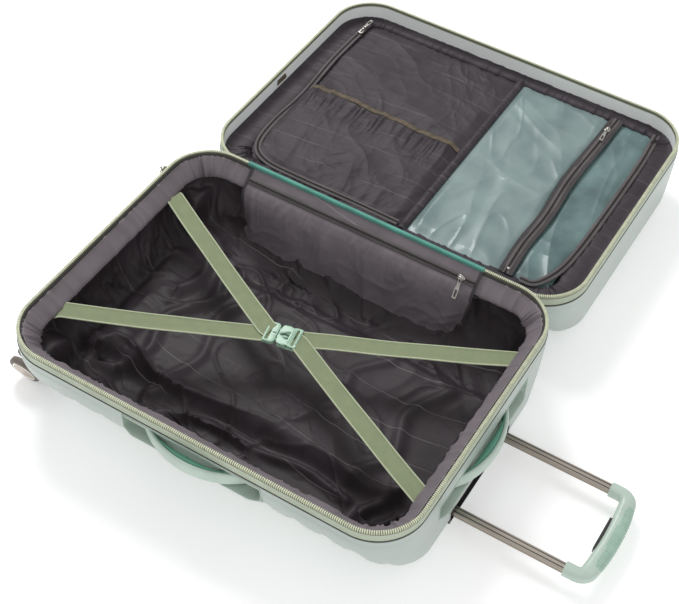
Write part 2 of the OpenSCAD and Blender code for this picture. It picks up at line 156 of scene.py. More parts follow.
def finish_mesh(mesh, smooth_angle):
    """Merges doubled points, turns the faces outwards, and keeps edges sharper than the angle."""
    shape = bmesh.new()
    shape.from_mesh(mesh)
    bmesh.ops.remove_doubles(shape, verts=shape.verts, dist=1e-6)
    bmesh.ops.dissolve_degenerate(shape, edges=shape.edges, dist=1e-7)
    bmesh.ops.recalc_face_normals(shape, faces=shape.faces)
    shape.to_mesh(mesh)
    shape.free()
    mesh.shade_smooth()
    mesh.set_sharp_from_angle(angle=math.radians(smooth_angle))


def ride(piece, body, slot, *nodes):
    """Fixes a piece to its body and hides the CAD nodes that it stands for; the slot is not used."""
    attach(piece, body)
    if nodes:
        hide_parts(*nodes)
    return piece


def bake(piece):
    """Applies a piece's modifiers."""
    bpy.context.view_layer.update()
    graph = bpy.context.evaluated_depsgraph_get()
    mesh = bpy.data.meshes.new_from_object(piece.evaluated_get(graph))
    piece.modifiers.clear()
    piece.data = mesh
    mesh.shade_smooth()
    mesh.set_sharp_from_angle(angle=math.radians(40))


def combine(piece, others, operation):
    """Cuts the others out of the piece, or keeps what is inside them. The others are then removed."""
    for other in others:
        change = piece.modifiers.new(operation.lower(), "BOOLEAN")
        change.operation = operation
        change.solver = "EXACT"
        change.object = other
    bake(piece)
    for other in others:
        bpy.data.objects.remove(other)
    return piece


def join(name, pieces):
    """One object from several, with their modifiers applied and their looks kept."""
    looks, shape = [], bmesh.new()
    graph = bpy.context.evaluated_depsgraph_get()
    for piece in pieces:
        mesh = bpy.data.meshes.new_from_object(piece.evaluated_get(graph))
        mesh.transform(piece.matrix_world)
        slots = []
        for look in mesh.materials:
            if look not in looks:
                looks.append(look)
            slots.append(looks.index(look))
        for face in mesh.polygons:
            face.material_index = slots[face.material_index]
        shape.from_mesh(mesh)
        bpy.data.meshes.remove(mesh)
        bpy.data.objects.remove(piece)
    mesh = bpy.data.meshes.new(name)
    shape.to_mesh(mesh)
    shape.free()
    for look in looks:
        mesh.materials.append(look)
    return shown(name, mesh)


# ---------------------------------------------------------------- shape helpers


def way_along(points):
    """How far along a line each of its points is."""
    return np.concatenate([[0], np.cumsum(np.linalg.norm(np.diff(points, axis=0), axis=1))])


def smooth_step(low, high, value):
    """0 below low and 1 above high, with a smooth rise between."""
    t = np.clip((np.asarray(value, float) - low) / (high - low), 0, 1)
    return t * t * (3 - 2 * t)


def bump_between(low, high, soft, value):
    """1 between low and high, and 0 outside, over a soft edge."""
    return smooth_step(low - soft, low + soft, value) * (1 - smooth_step(high - soft, high + soft, value))


def noise(x, y, seed):
    """Smooth noise from -1 to 1 over the plane, about one bump a unit."""
    lattice = np.random.default_rng(seed).uniform(-1, 1, (128, 128))
    xi, yi = np.floor(x).astype(int), np.floor(y).astype(int)
    fx, fy = x - xi, y - yi
    ux, uy = fx**3 * (fx * (6 * fx - 15) + 10), fy**3 * (fy * (6 * fy - 15) + 10)

    def at(i, j):
        return lattice[(xi + i) % 128, (yi + j) % 128]

    near = at(0, 0) * (1 - ux) + at(1, 0) * ux
    far = at(0, 1) * (1 - ux) + at(1, 1) * ux
    return near * (1 - uy) + far * uy


def creases(x, y, size, seed, octaves=3, warp=0.7):
    """Soft cloth folds from 0 to 1: crests that wander, with finer ones on them."""
    x, y = np.asarray(x, float) / size, np.asarray(y, float) / size
    x2 = x + warp * noise(x * 0.6 + 3.1, y * 0.6, seed + 1)
    y2 = y + warp * noise(x * 0.6, y * 0.6 + 7.7, seed + 2)
    total, weight, share = 0.0, 0.0, 1.0
    for octave in range(octaves):
        crest = 1 - np.abs(noise(x2 * 2**octave, y2 * 2**octave, seed + 10 + octave)) * 1.6
        total = total + share * np.clip(crest, 0, 1) ** 2
        weight += share
        share *= 0.42
    return total / weight


def outline(neg, pos, half_w, r, nx=150, ny=100, nc=26):
    """Points and outward normals round a rounded rectangle that reaches from -neg to pos along X."""
    cx, cy = [pos - r, r - neg, r - neg, pos - r], [half_w - r, half_w - r, r - half_w, r - half_w]
    points, normals = [], []
    for k in range(4):
        a = np.radians(90 * k + np.linspace(0, 90, nc))
        arc = np.c_[cx[k] + r * np.cos(a), cy[k] + r * np.sin(a)]
        m = (k + 1) % 4
        way = np.array([math.cos(math.pi / 2 * (k + 1)), math.sin(math.pi / 2 * (k + 1))])
        last = np.array([cx[m], cy[m]]) + r * way
        t = np.linspace(0, 1, (nx if k % 2 == 0 else ny) + 2)[1:-1, None]
        points += [arc, arc[-1] + (last - arc[-1]) * t]
        normals += [np.c_[np.cos(a), np.sin(a)], np.repeat(way[None], len(t), 0)]
    return np.concatenate(points), np.concatenate(normals)


def line_points(n):
    """n points evenly spaced round the zipper line, with outward normals and the way round."""
    points, normals = outline(LINE_L, LINE_L, LINE_W, LINE_R, 400, 300, 90)
    steps = np.linalg.norm(np.roll(points, -1, 0) - points, axis=1)
    s = np.concatenate([[0], np.cumsum(steps)])
    at = np.arange(n) / n * s[-1]
    closed = np.vstack([points, points[:1]])
    closed_n = np.vstack([normals, normals[:1]])
    p = np.c_[np.interp(at, s, closed[:, 0]), np.interp(at, s, closed[:, 1])]
    q = np.c_[np.interp(at, s, closed_n[:, 0]), np.interp(at, s, closed_n[:, 1])]
    q /= np.linalg.norm(q, axis=1, keepdims=True)
    return p, q, np.c_[-q[:, 1], q[:, 0]], at


def round_ring(name, half, section, look):
    """A ring along the zipper line with that closed section of (outwards, height) points."""
    points, normals = outline(LINE_L, LINE_L, LINE_W, LINE_R)
    out, z = np.array(section, float).T
    xy = points[:, None] + normals[:, None] * out[None, :, None]
    ring = np.concatenate([xy, np.broadcast_to(z[None, :, None], xy.shape[:2] + (1,))], -1)
    faces = grid_faces(len(points), len(section), True, True)
    return make(name, half.place(ring), faces, look)


def along_line(name, half, shape, faces, pitch, look, keep=None):
    """Copies of a small shape of (outwards, along, height) points, a pitch apart round the line."""
    total = line_points(16)[3][1] * 16
    p, q, t = line_points(int(round(total / pitch)))[:3]
    if keep is not None:
        chosen = keep(p)
        p, q, t = p[chosen], q[chosen], t[chosen]
    shape = np.asarray(shape, float)
    xy = p[:, None] + q[:, None] * shape[None, :, :1] + t[:, None] * shape[None, :, 1:2]
    z = np.broadcast_to(shape[None, :, 2:], xy.shape[:2] + (1,))
    points = np.concatenate([xy, z], -1)
    offsets = (np.arange(len(p)) * len(shape))[:, None, None]
    whole = (np.asarray(faces)[None] + offsets).reshape(-1, len(faces[0]))
    return make(name, half.place(points.reshape(-1, 3)), whole, look, 50)


def bead(length, width, height, sides=6):
    """A small rounded block about the origin: rings of a rounded section, pinched at the ends."""
    a = np.linspace(0, 2 * math.pi, sides, endpoint=False) + math.pi / sides
    rings = []
    for along, scale in ((-0.5, 0.55), (-0.32, 1), (0.32, 1), (0.5, 0.55)):
        x, z = np.cos(a) * width / 2 * scale, np.sin(a) * height / 2 * scale
        rings.append(np.c_[x, np.full(sides, along * length), z])
    points = np.concatenate(rings)
    faces = grid_faces(4, sides, False, True).tolist()
    for ring in (0, 3):
        for k in range(1, sides // 2):
            a0, b0 = ring * sides + k, ring * sides + (sides - k) % sides
            a1, b1 = ring * sides + k - 1, ring * sides + (sides - k + 1) % sides
            faces.append([a0, a1, b1, b0] if b1 != a1 else [a0, a1, b0, b0])
    return points, faces


def revolve(name, profile, axis_point, axis, look, n=64, angle=40):
    """A turned piece: profile is (along the axis, radius) points."""
    axis = Vector(axis).normalized()
    side = axis.orthogonal().normalized()
    up = axis.cross(side)
    a = np.linspace(0, 2 * math.pi, n, endpoint=False)
    along, r = np.array(profile, float).T
    ring = np.cos(a)[:, None, None] * np.array(side) + np.sin(a)[:, None, None] * np.array(up)
    points = np.array(axis_point) + along[None, :, None] * np.array(axis) + r[None, :, None] * ring
    return make(name, points, grid_faces(n, len(profile), True, False), look, angle)


def filled(name, loops, thickness, look, edge=0.6, matrix=None):
    """A flat plate with holes: loops are lists of (x, y) points, the first outermost."""
    curve = bpy.data.curves.new(name, "CURVE")
    curve.dimensions = "2D"
    curve.fill_mode = "BOTH"
    curve.extrude = (thickness / 2 - edge) * MM
    curve.bevel_depth = edge * MM
    curve.bevel_resolution = 2
    curve.offset = -edge * MM
    for loop in loops:
        spline = curve.splines.new("POLY")
        spline.points.add(len(loop) - 1)
        for point, (x, y) in zip(spline.points, loop):
            point.co = (x * MM, y * MM, 0, 1)
        spline.use_cyclic_u = True
    shape = shown(name, curve)
    bpy.context.view_layer.update()
    graph = bpy.context.evaluated_depsgraph_get()
    mesh = bpy.data.meshes.new_from_object(shape.evaluated_get(graph))
    bpy.data.objects.remove(shape)
    if matrix is not None:
        mesh.transform(matrix)
    piece = shown(name, mesh)
    finish_mesh(mesh, 35)
    mesh.materials.clear()
    mesh.materials.append(look)
    return piece


def rounded(points, r, n=6):
    """A closed outline with its corners rounded."""
    points = [np.array(p, float) for p in points]
    out = []
    for k, p in enumerate(points):
        a, b = points[k - 1] - p, points[(k + 1) % len(points)] - p
        reach = min(r, np.linalg.norm(a) * 0.48, np.linalg.norm(b) * 0.48)
        a, b = p + a / np.linalg.norm(a) * reach, p + b / np.linalg.norm(b) * reach
        for t in np.linspace(0, 1, n):
            out.append(tuple((1 - t) ** 2 * a + 2 * t * (1 - t) * p + t * t * b))
    return out


def block(x0, y0, x1, y1, r):
    """The outline of a rectangle with rounded corners."""
    return rounded([(x0, y0), (x1, y0), (x1, y1), (x0, y1)], r)


def frame_matrix(origin, x_axis, y_axis):
    """Places a flat piece: its X and Y along these axes, in millimetres."""
    x, y = Vector(x_axis).normalized(), Vector(y_axis).normalized()
    z = x.cross(y).normalized()
    y = z.cross(x)
    rows = Matrix((x, y, z)).transposed().to_4x4()
    return Matrix.Translation(Vector(origin) * MM) @ rows


# ---------------------------------------------------------------- materials


def srgb(*levels):
    """A linear colour from red, green and blue levels of 0 to 255."""
    return tuple(c / 255 / 12.92 if c < 10 else ((c / 255 + 0.055) / 1.055) ** 2.4 for c in levels) + (1,)


def look(name, rgb, rough=0.5, metallic=0.0, spread=0.08, size=25, grain=900, bump=0.1, coat=0.0, weave=0,
         second=None, lines=None, stretch=(1, 1, 1), specular=0.5):
    """A node material: a colour that wanders a little, a fine grain or weave, and faint printed lines."""
    material = bpy.data.materials.new(name)
    material.use_nodes = True
    tree = material.node_tree

    def feed(node, inputs):
        for key, value in inputs.items():
            if isinstance(value, bpy.types.NodeSocket):
                tree.links.new(value, node.inputs[key])
            else:
                node.inputs[key].default_value = value

    def add(kind, inputs, output, **settings):
        """A new node's output; its inputs are values or other nodes' outputs."""
        node = tree.nodes.new("ShaderNode" + kind)
        for key, value in settings.items():
            setattr(node, key, value)
        feed(node, inputs)
        return node.outputs[output]

    place = add("TexCoord", {}, "Object")
    stretched = add("Mapping", {"Vector": place, "Scale": stretch}, "Vector")
    clouds = add("TexNoise", {"Vector": stretched, "Scale": size, "Detail": 4}, "Fac")
    share = add("MapRange", {"Value": clouds, "From Min": 0.35, "From Max": 0.65}, "Result")
    base = srgb(*rgb)
    far = srgb(*second) if second else tuple(c * (1 - 2 * spread) for c in base[:3]) + (1,)
    near = base if second else tuple(min(1, c * (1 + spread)) for c in base[:3]) + (1,)
    colour = add("Mix", {"A": far, "B": near, "Factor": share}, "Result", data_type="RGBA")
    if lines:
        scale, ink, strength = lines
        bands = {"Vector": place, "Scale": scale, "Distortion": 7, "Detail": 1, "Detail Scale": 0.5}
        flow = add("TexWave", bands, "Fac", bands_direction="Y")
        on_line = add("Math", {0: flow, 1: 0.5, 2: 0.02}, "Value", operation="COMPARE")
        patches = add("TexNoise", {"Vector": place, "Scale": 9}, "Fac")
        limits = {"Value": patches, "From Min": 0.42, "From Max": 0.56, "To Max": strength}
        broken = add("MapRange", limits, "Result")
        thin = add("Math", {0: on_line, 1: broken}, "Value", operation="MULTIPLY")
        colour = add("Mix", {"A": colour, "B": srgb(*ink), "Factor": thin}, "Result", data_type="RGBA")
    if weave:
        yarn = {"Vector": place, "Scale": weave, "Distortion": 0.4}
        warp, weft = [add("TexWave", yarn, "Fac", bands_direction=way) for way in ("X", "Y")]
        height = add("Math", {0: warp, 1: weft}, "Value", operation="ADD")
    else:
        height = add("TexNoise", {"Vector": stretched, "Scale": grain, "Detail": 2}, "Fac")
    normal = add("Bump", {"Height": height, "Strength": bump, "Distance": 0.0006}, "Normal")
    surface = {"Base Color": colour, "Normal": normal, "Roughness": rough, "Metallic": metallic}
    surface.update({"Coat Weight": coat, "Specular IOR Level": specular})
    feed(tree.nodes["Principled BSDF"], surface)
    return material


SHELL = look("shell_plastic", (173, 184, 178), 0.38, spread=0.03, size=9, grain=1500, bump=0.05, coat=0.12)
TAPE = look("zipper_tape_cloth", (178, 187, 168), 0.7, spread=0.05, weave=700, bump=0.25)
TEETH = look("zipper_teeth", (212, 216, 188), 0.45, spread=0.06, size=120, bump=0.05)
TEETH_BED = look("zipper_chain_bed", (104, 105, 88), 0.8, spread=0.08, size=200, bump=0.2)
SEAM = look("seam_cord", (66, 62, 58), 0.85, spread=0.1, size=80, bump=0.3)
LINING = look("lining_satin", (56, 50, 54), 0.5, spread=0.12, size=14, weave=900, bump=0.1,
              lines=(3.2, (118, 112, 114), 0.6), specular=0.22)
FLAP = look("flap_cloth", (112, 105, 110), 0.5, spread=0.1, size=14, weave=900, bump=0.1,
            lines=(3.2, (156, 150, 152), 0.6), specular=0.25)
PANEL = look("divider_cloth", (62, 56, 61), 0.52, spread=0.1, size=18, weave=900, bump=0.12,
             lines=(3.6, (116, 110, 113), 0.55), specular=0.22)
TRIM = look("trim_cloth", (120, 112, 117), 0.6, spread=0.06, size=20, weave=1000, bump=0.1, specular=0.3)
BINDING = look("binding_cloth", (62, 57, 59), 0.75, spread=0.08, weave=900, bump=0.3)
STITCH = look("stitch_thread", (168, 164, 158), 0.7, spread=0.1, size=300, bump=0.2)
WEBBING = look("webbing", (132, 142, 109), 0.8, spread=0.03, size=60, weave=900, bump=0.25)
SELVEDGE = look("webbing_edge", (180, 188, 158), 0.75, spread=0.04, size=90, weave=900, bump=0.3)
BUCKLE = look("buckle_plastic", (152, 186, 163), 0.38, spread=0.03, size=60, bump=0.04, coat=0.1)
HINGE = look("hinge_cloth", (92, 160, 146), 0.7, spread=0.08, weave=600, bump=0.35)
ZIP_BAND = look("zip_band_cloth", (88, 82, 83), 0.65, spread=0.08, weave=700, bump=0.3)
ZIP_COIL = look("zip_coil", (66, 61, 60), 0.45, spread=0.15, size=700, bump=0.2)
METAL = look("zip_metal", (186, 184, 178), 0.28, metallic=1.0, spread=0.05, size=200, bump=0.05)
PEVA = look("clear_film", (126, 145, 143), 0.36, spread=0.1, size=16, grain=300, bump=0.08, coat=0.15,
            second=(106, 125, 125))
PEVA_LOW = look("lower_film", (104, 131, 130), 0.36, spread=0.1, size=16, grain=300, bump=0.08, coat=0.15,
                second=(76, 98, 99))
ELASTIC = look("elastic_cloth", (104, 92, 76), 0.8, spread=0.1, size=80, weave=800, bump=0.5)
TUBE = look("brushed_aluminium", (178, 169, 158), 0.34, metallic=0.9, spread=0.06, size=60, grain=700,
            bump=0.08, stretch=(0.04, 1, 1))
INNER_METAL = look("rod_metal", (176, 174, 168), 0.3, metallic=1.0, spread=0.05, size=90, bump=0.05)
DARK = look("dark_plastic", (38, 37, 37), 0.45, spread=0.12, size=50, grain=1200, bump=0.1)
GRIP = look("grip_plastic", (182, 199, 188), 0.4, spread=0.03, size=30, grain=1300, bump=0.06, coat=0.1)
GRIP_RIB = look("grip_ribs", (158, 186, 171), 0.45, spread=0.04, size=60, bump=0.05)
TRAY = look("tray_plastic", (160, 176, 165), 0.45, spread=0.05, size=30, grain=1300, bump=0.06)
BAR_IN = look("handle_inside", (112, 172, 152), 0.5, spread=0.05, size=40, bump=0.06)
TYRE = look("tyre_rubber", (108, 98, 92), 0.6, spread=0.06, size=60, grain=800, bump=0.1)
HUB = look("hub_cap", (180, 168, 155), 0.32, metallic=0.55, spread=0.05, size=40, bump=0.04)
HUB_RING = look("hub_ring", (226, 222, 214), 0.2, metallic=0.9, spread=0.04, size=60, bump=0.03)
# painted light: the lid's inner wall is the shell's pale plastic made near-white so that it looks lit from
# the front
PAINTED_LIGHT_WALL = look("inner_wall_painted_light", (246, 250, 248), 0.5, spread=0.02, size=12, bump=0.04)
WELL = look("well_plastic", (176, 200, 194), 0.4, spread=0.04, size=30, bump=0.05)


def paint(look_, *nodes):
    """Gives CAD nodes that stay in view their material."""
    for node in nodes:
        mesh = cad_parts[node].data
        mesh.materials.clear()
        mesh.materials.append(look_)


paint(TUBE, "outer_tubes", "middle_tubes", "inner_tubes")
paint(INNER_METAL, "release_rods")
# the trolley housing is dark plastic, and its dark colour also stands for the shadow in the grip's pocket:
# partly painted shade
paint(DARK, "tube_foot", "trolley_housing", "grip_trigger")


# ---------------------------------------------------------------- shells


def side_inset(z, half):
    """How far the long sides curve in at a height."""
    low, high, reach, n = (FLOOR_GAP, 128, 75, 1.43) if half is BASE else (FLOOR_GAP, 104, 62, 1.5)
    t = np.clip((high - z) / (high - low), 0, 1)
    return reach * (1 - (1 - t**n) ** (1 / n))


def end_inset(z, reach):
    """How far an end curves in at a height, over a round corner of that reach."""
    t = np.clip((FLOOR_GAP + reach - z) / reach, 0, 1)
    return reach * (1 - np.sqrt(1 - t * t))


def shell_ring(z, half, inset=0.0):
    """The shell's outline at a height, drawn in by inset."""
    s = side_inset(z, half) + inset - SHELL_OUT
    r = max(LINE_R - 0.35 * s, 24)
    reach = LINE_L - inset + SHELL_OUT
    return outline(reach - end_inset(z, WHEEL_END_R), reach - end_inset(z, HANDLE_END_R), LINE_W - s, r)


def flutes(x):
    """How far the waves across the back stand in, from 0 to FLUTE_DEPTH."""
    wave = 0.5 + 0.5 * np.tanh(2.2 * np.sin(2 * math.pi * (x - 12) / FLUTE_PITCH)) / math.tanh(2.2)
    span = smooth_step(-LINE_L + 40, -LINE_L + 110, x) * (1 - smooth_step(LINE_L - 45, LINE_L - 20, x))
    return FLUTE_DEPTH * wave * span


def shell(half):
    """A half's hard shell: rings down its side and over its back, and the same surface one wall inside."""
    top, low = half.edge, FLOOR_GAP
    bend = 60
    heights = [np.linspace(top, bend, 26), low + (bend - low) * (1 - np.linspace(0, 1, 30)[1:]) ** 1.8]
    rings = []
    for z in np.concatenate(heights):
        p, n = shell_ring(z, half)
        wave = flutes(p[:, 0])
        fade = (1 - smooth_step(44, 106, z)) * (0.35 + 0.65 * smooth_step(60, 160, p[:, 0]))
        lip = 0.9 * math.exp(-(((z - (top - 10)) / 1.6) ** 2))
        shift = -wave * fade * np.abs(n[:, 1]) ** 3 * 3.3 - lip
        rings.append(np.c_[p + n * shift[:, None], z + wave * (1 - smooth_step(3, 40, z)) * 0.8])
    p, n = shell_ring(low, half)
    for t in np.linspace(0, 1, 44)[1:]:
        q = p * max(1 - t, 0.002)
        edge = smooth_step(0, 0.12, t)
        rings.append(np.c_[q, low - 2.1 * edge * 0.8 + flutes(q[:, 0]) * (0.8 + 0.2 * edge)])
    outer = np.array(rings)
    normal = grid_normals(outer, False, True)
    if normal[2, 100, :2] @ outer[2, 100, :2] < 0:
        normal = -normal
    normal[0, :, 2] = 0
    inner = outer - normal * WALL
    inner[0, :, 2] = top
    inner[-1] = outer[-1] + [0, 0, WALL]
    skin = np.concatenate([inner[::-1], outer])
    return make(half.name + "_case", half.place(skin), closed_grid(skin), SHELL, 50), outer


def solid_box(low, high):
    """A plain box between two corners."""
    (x0, y0, z0), (x1, y1, z1) = low, high
    points = [(x, y, z) for x in (x0, x1) for y in (y0, y1) for z in (z0, z1)]
    faces = [(0, 1, 3, 2), (4, 6, 7, 5), (0, 4, 5, 1), (2, 3, 7, 6), (0, 2, 6, 4), (1, 5, 7, 3)]
    return make("cutter", points, faces, SHELL)


def caster_y(half, side):
    """Where a caster's swivel pin stands across the case."""
    return half.y + side * (LINE_W + SHELL_OUT - WELL_IN)


def cutters_for(half):
    """What is cut out of a shell: the wheel wells, and the places of the trays and the grip's housing."""
    found = []
    r = WELL_R + 0.1
    for side in (-1, 1):
        place = (half.x - LINE_L, caster_y(half, side), WELL_Z)
        profile = [(-60, 0.001), (-60, r), (60, r), (60, 0.001)]
        found.append(revolve("cutter", profile, place, (1, 0, 0), SHELL, 72))
    if half is BASE:
        for node in ("side_handle_tray", "end_handle_tray", "trolley_housing"):
            low, high = box_mm(node)
            out = np.array([0, 30, 0]) if node.startswith("side") else np.array([-30, 0, 0])
            found.append(solid_box(low + 0.3 - np.maximum(out, 0), high - 0.3 - np.minimum(out, 0)))
    return found


def cups(half, outer):
    """Round cups that line the wheel wells, cut off at the shell's outer face."""
    form = np.concatenate([[np.c_[outer[0, :, :2], outer[0, :, 2] + 30]], outer])
    floor, mouth, wall = 34, -14, 2.2
    profile = [(mouth, WELL_R), (floor + 4, WELL_R), (floor + 4, 4.2), (floor, 4.2), (floor, WELL_R - 7),
               (floor - 5, WELL_R - wall), (mouth, WELL_R - wall), (mouth, WELL_R)]
    pieces = []
    for side in (-1, 1):
        place = (half.x - LINE_L, caster_y(half, side), WELL_Z)
        cup = revolve("cup", profile, place, (1, 0, 0), WELL, 120)
        solid = make("form", half.place(form), closed_grid(form), None, 50)
        pieces.append(combine(cup, [solid], "INTERSECT"))
    whole = join(half.name + "_wheel_cups", pieces)
    ride(whole, half.name, "dark_plastic", half.name + "_caster_housings")


for half in (BASE, LID):
    case, outer = shell(half)
    combine(case, cutters_for(half), "DIFFERENCE")
    ride(case, half.name, "shell", half.name + "_shell")
    cups(half, outer)


# ---------------------------------------------------------------- zippers

WEB_LOW, WEB_HIGH = box_mm("hinge_web")


def off_hinge(half):
    """Picks the zipper's points that aren't under the hinge web."""

    def keep(p):
        near = p[:, 1] * half.inwards > LINE_W - 2
        return ~(near & (p[:, 0] > WEB_LOW[0] - half.x) & (p[:, 0] < WEB_HIGH[0] - half.x))

    return keep


for half in (BASE, LID):
    top, edge = half.top, half.edge
    band = [(-2.4, edge - 12), (0.0, edge - 12), (0.2, edge + 1), (1.4, edge + 3), (1.0, top - 6.5),
            (-4.4, top - 6.5), (-4.8, top - 8), (-2.2, edge + 1)]
    tape = round_ring(half.name + "_zipper_tape", half, band, TAPE)
    ride(tape, half.name, "zipper_tape", half.name + "_zipper")
    angles = np.linspace(0, 2 * math.pi, 8, endpoint=False)
    cord_line = [(1.1 + 1.1 * math.cos(a), edge + 1.6 + 1.3 * math.sin(a)) for a in angles]
    seam = round_ring(half.name + "_seam", half, cord_line, SEAM)
    ride(seam, half.name, "dark_plastic")
    rail = [(-4.6, top - 6.4), (0.2, top - 6.4), (0.2, top - 2.2), (-4.2, top - 2.2)]
    carrier = round_ring(half.name + "_teeth_tape", half, rail, TEETH_BED)
    ride(carrier, half.name, "zipper_tape")
    for name, size, middle_at in (("_teeth", (2.3, 5.6, 3.2), (-2.0, 0, top - 1.9)),
                                  ("_coil", (2.0, 1.7, 2.6), (0.1, 0, top - 4.0))):
        shape, faces = bead(*size)
        row = along_line(half.name + name, half, shape + middle_at, faces, TEETH_PITCH, TEETH,
                         off_hinge(half))
        ride(row, half.name, "zipper_tape")


# ---------------------------------------------------------------- cloth helpers


def cloth(piece):
    """Returns the sheet unchanged."""
    return piece


def patch(name, xs, ys, place, look_):
    """A surface over a grid of u and v: place turns two arrays into points in millimetres."""
    u, v = np.meshgrid(xs, ys, indexing="ij")
    points = place(u, v)
    return make(name, points, grid_faces(len(xs), len(ys)), look_, 80)


def ribbon(name, line, across, width, thickness, look_, edge_look=None, dome=0.0):
    """A strap along a line of points, with its width along across."""
    line, across = np.asarray(line, float), np.asarray(across, float)
    along = np.gradient(line, axis=0)
    along /= np.linalg.norm(along, axis=1, keepdims=True)
    side = across - (across * along).sum(1, keepdims=True) * along
    side /= np.linalg.norm(side, axis=1, keepdims=True)
    up = np.cross(along, side)
    up *= np.sign(up[:, 2:3].sum()) or 1
    v = np.array([-1, -0.93, -0.86, -0.84, -0.45, 0, 0.45, 0.84, 0.86, 0.93, 1])
    lift = np.array([0, 0.25, 0.28, 0.05, 0.04, 0, 0.04, 0.05, 0.28, 0.25, 0]) * 1.2 + dome * (1 - v * v)

    def edge_lines(at, height):
        return line[:, None] + side[:, None] * (at * width / 2)[:, None] + up[:, None] * height[:, None]

    low = dome * (1 - v * v)[::-1] - thickness / 2
    points = np.concatenate([edge_lines(v, thickness / 2 + lift), edge_lines(v[::-1], low)], 1)
    count = points.shape[1]
    faces = grid_faces(len(line), count, False, True)
    piece = make(name, points, faces, look_, 60)
    if edge_look:
        piece.data.materials.append(edge_look)
        columns = np.tile(np.arange(count), len(line) - 1)
        marks = np.isin(columns, [0, 1, 8, 9, 10, 11, 12, 19, 20, 21])
        if len(piece.data.polygons) == len(marks):
            piece.data.polygons.foreach_set("material_index", marks.astype(int))
    return piece


# ---------------------------------------------------------------- base lining

TUNNEL_W, TUNNEL_TOP = 112, 50


def tunnel(x, y):
    """Height of the cloth over the trolley tunnel and the block round the grip's pocket."""
    along = smooth_step(-LINE_L + 26, -LINE_L + 60, x)
    long_part = TUNNEL_TOP * bump_between(-TUNNEL_W - 16, TUNNEL_W + 16, 24, y) * along
    box = 126 * bump_between(-154, 154, 10, y) * smooth_step(LINE_L - 56, LINE_L - 36, x)
    return np.maximum(long_part, box)


def wells(x, y):
    """Height of the cloth over the round caster wells."""
    height = 0
    for side in (-1, 1):
        d = y - side * (LINE_W + SHELL_OUT - WELL_IN)
        r = WELL_R + 8
        dome = WELL_Z + np.sqrt(np.clip(r * r - d * d, 0, None))
        height = np.maximum(height, dome * (1 - smooth_step(-LINE_L + 52, -LINE_L + 66,
                                                            x)) * (np.abs(d) < r))
    return height


def ridge(x, y, line, width):
    """A fold along a line of (x, y) points: 1 on it, falling off with the distance."""
    line = np.array(line, float)
    t = np.linspace(0, 1, len(line))
    fine = np.linspace(0, 1, 90)
    cx = np.interp(fine, t, line[:, 0])
    cy = np.interp(fine, t, line[:, 1])
    kernel = np.ones(13) / 13
    cx = np.convolve(np.pad(cx, 6, "edge"), kernel, "valid")
    cy = np.convolve(np.pad(cy, 6, "edge"), kernel, "valid")
    d2 = np.full(np.shape(x), 1e9)
    for px, py in zip(cx, cy):
        d2 = np.minimum(d2, (x - px) ** 2 + (y - py) ** 2)
    return np.exp(-d2 / width**2)


def folds(x, y, size, seed, sharp=3.0, warp=1.0):
    """Cloth folds from 0 to 1: narrow crests along wandering lines, and wide hollows between them."""
    x, y = np.asarray(x, float) / size, np.asarray(y, float) / size
    x2 = x + warp * noise(x * 0.7 + 5.2, y * 0.7 + 1.3, seed + 1)
    y2 = y + warp * noise(x * 0.7 + 9.1, y * 0.7 + 4.4, seed + 2)
    crest = 1 - np.abs(noise(x2, y2, seed + 3)) * 2.0
    strength = 0.35 + 0.65 * (0.5 + 0.5 * noise(x * 0.9, y * 0.9, seed + 4))
    return np.clip(crest, 0, 1) ** sharp * strength


# the large folds that stand out: height, width and the line of (x, y) points that each follows
FOLD_LINES = [
    (24, 13, [(-292, -130), (-246, -70), (-268, 0), (-216, 70), (-240, 160)]),
    (20, 11, [(-250, -150), (-196, -96), (-226, -20), (-170, 50), (-200, 120)]),
    (12, 10, [(-160, -150), (-120, -60), (-150, 30), (-110, 100)]),
    (11, 8, [(-130, -186), (-60, -140), (30, -150), (120, -134), (210, -150)]),
    (9, 8, [(-140, 124), (-50, 136), (60, 126), (170, 136), (240, 122)]),
    (10, 10, [(70, -70), (110, -14), (92, 50), (140, 104)]),
    (18, 11, [(190, -120), (236, -60), (206, 20), (250, 100)]),
    (16, 10, [(300, -120), (262, -176), (190, -196)]),
    (16, 9, [(280, -90), (236, -150), (228, -200)]),
    (14, 11, [(-300, -110), (-272, -176), (-200, -206)]),
]


def base_folds(x, y):
    """Height of the loose folds in the base's cloth."""
    left = 1 - smooth_step(-170, -60, x)
    big = 20 * folds(x * 0.7, y, 105, 3, 2.4, 1.1) * (0.55 + 0.75 * left)
    mid = 9 * folds(x * 0.9 + y * 0.4, y * 0.9, 58, 13, 2.6, 1.2)
    small = 3.6 * folds(x, y * 1.2, 27, 23, 2.2, 0.9) * (0.5 + 0.5 * noise(x / 90, y / 90, 5))
    total = big + mid + small
    for height, width, line in FOLD_LINES:
        total = total + height * ridge(x, y, line, width)
    return total


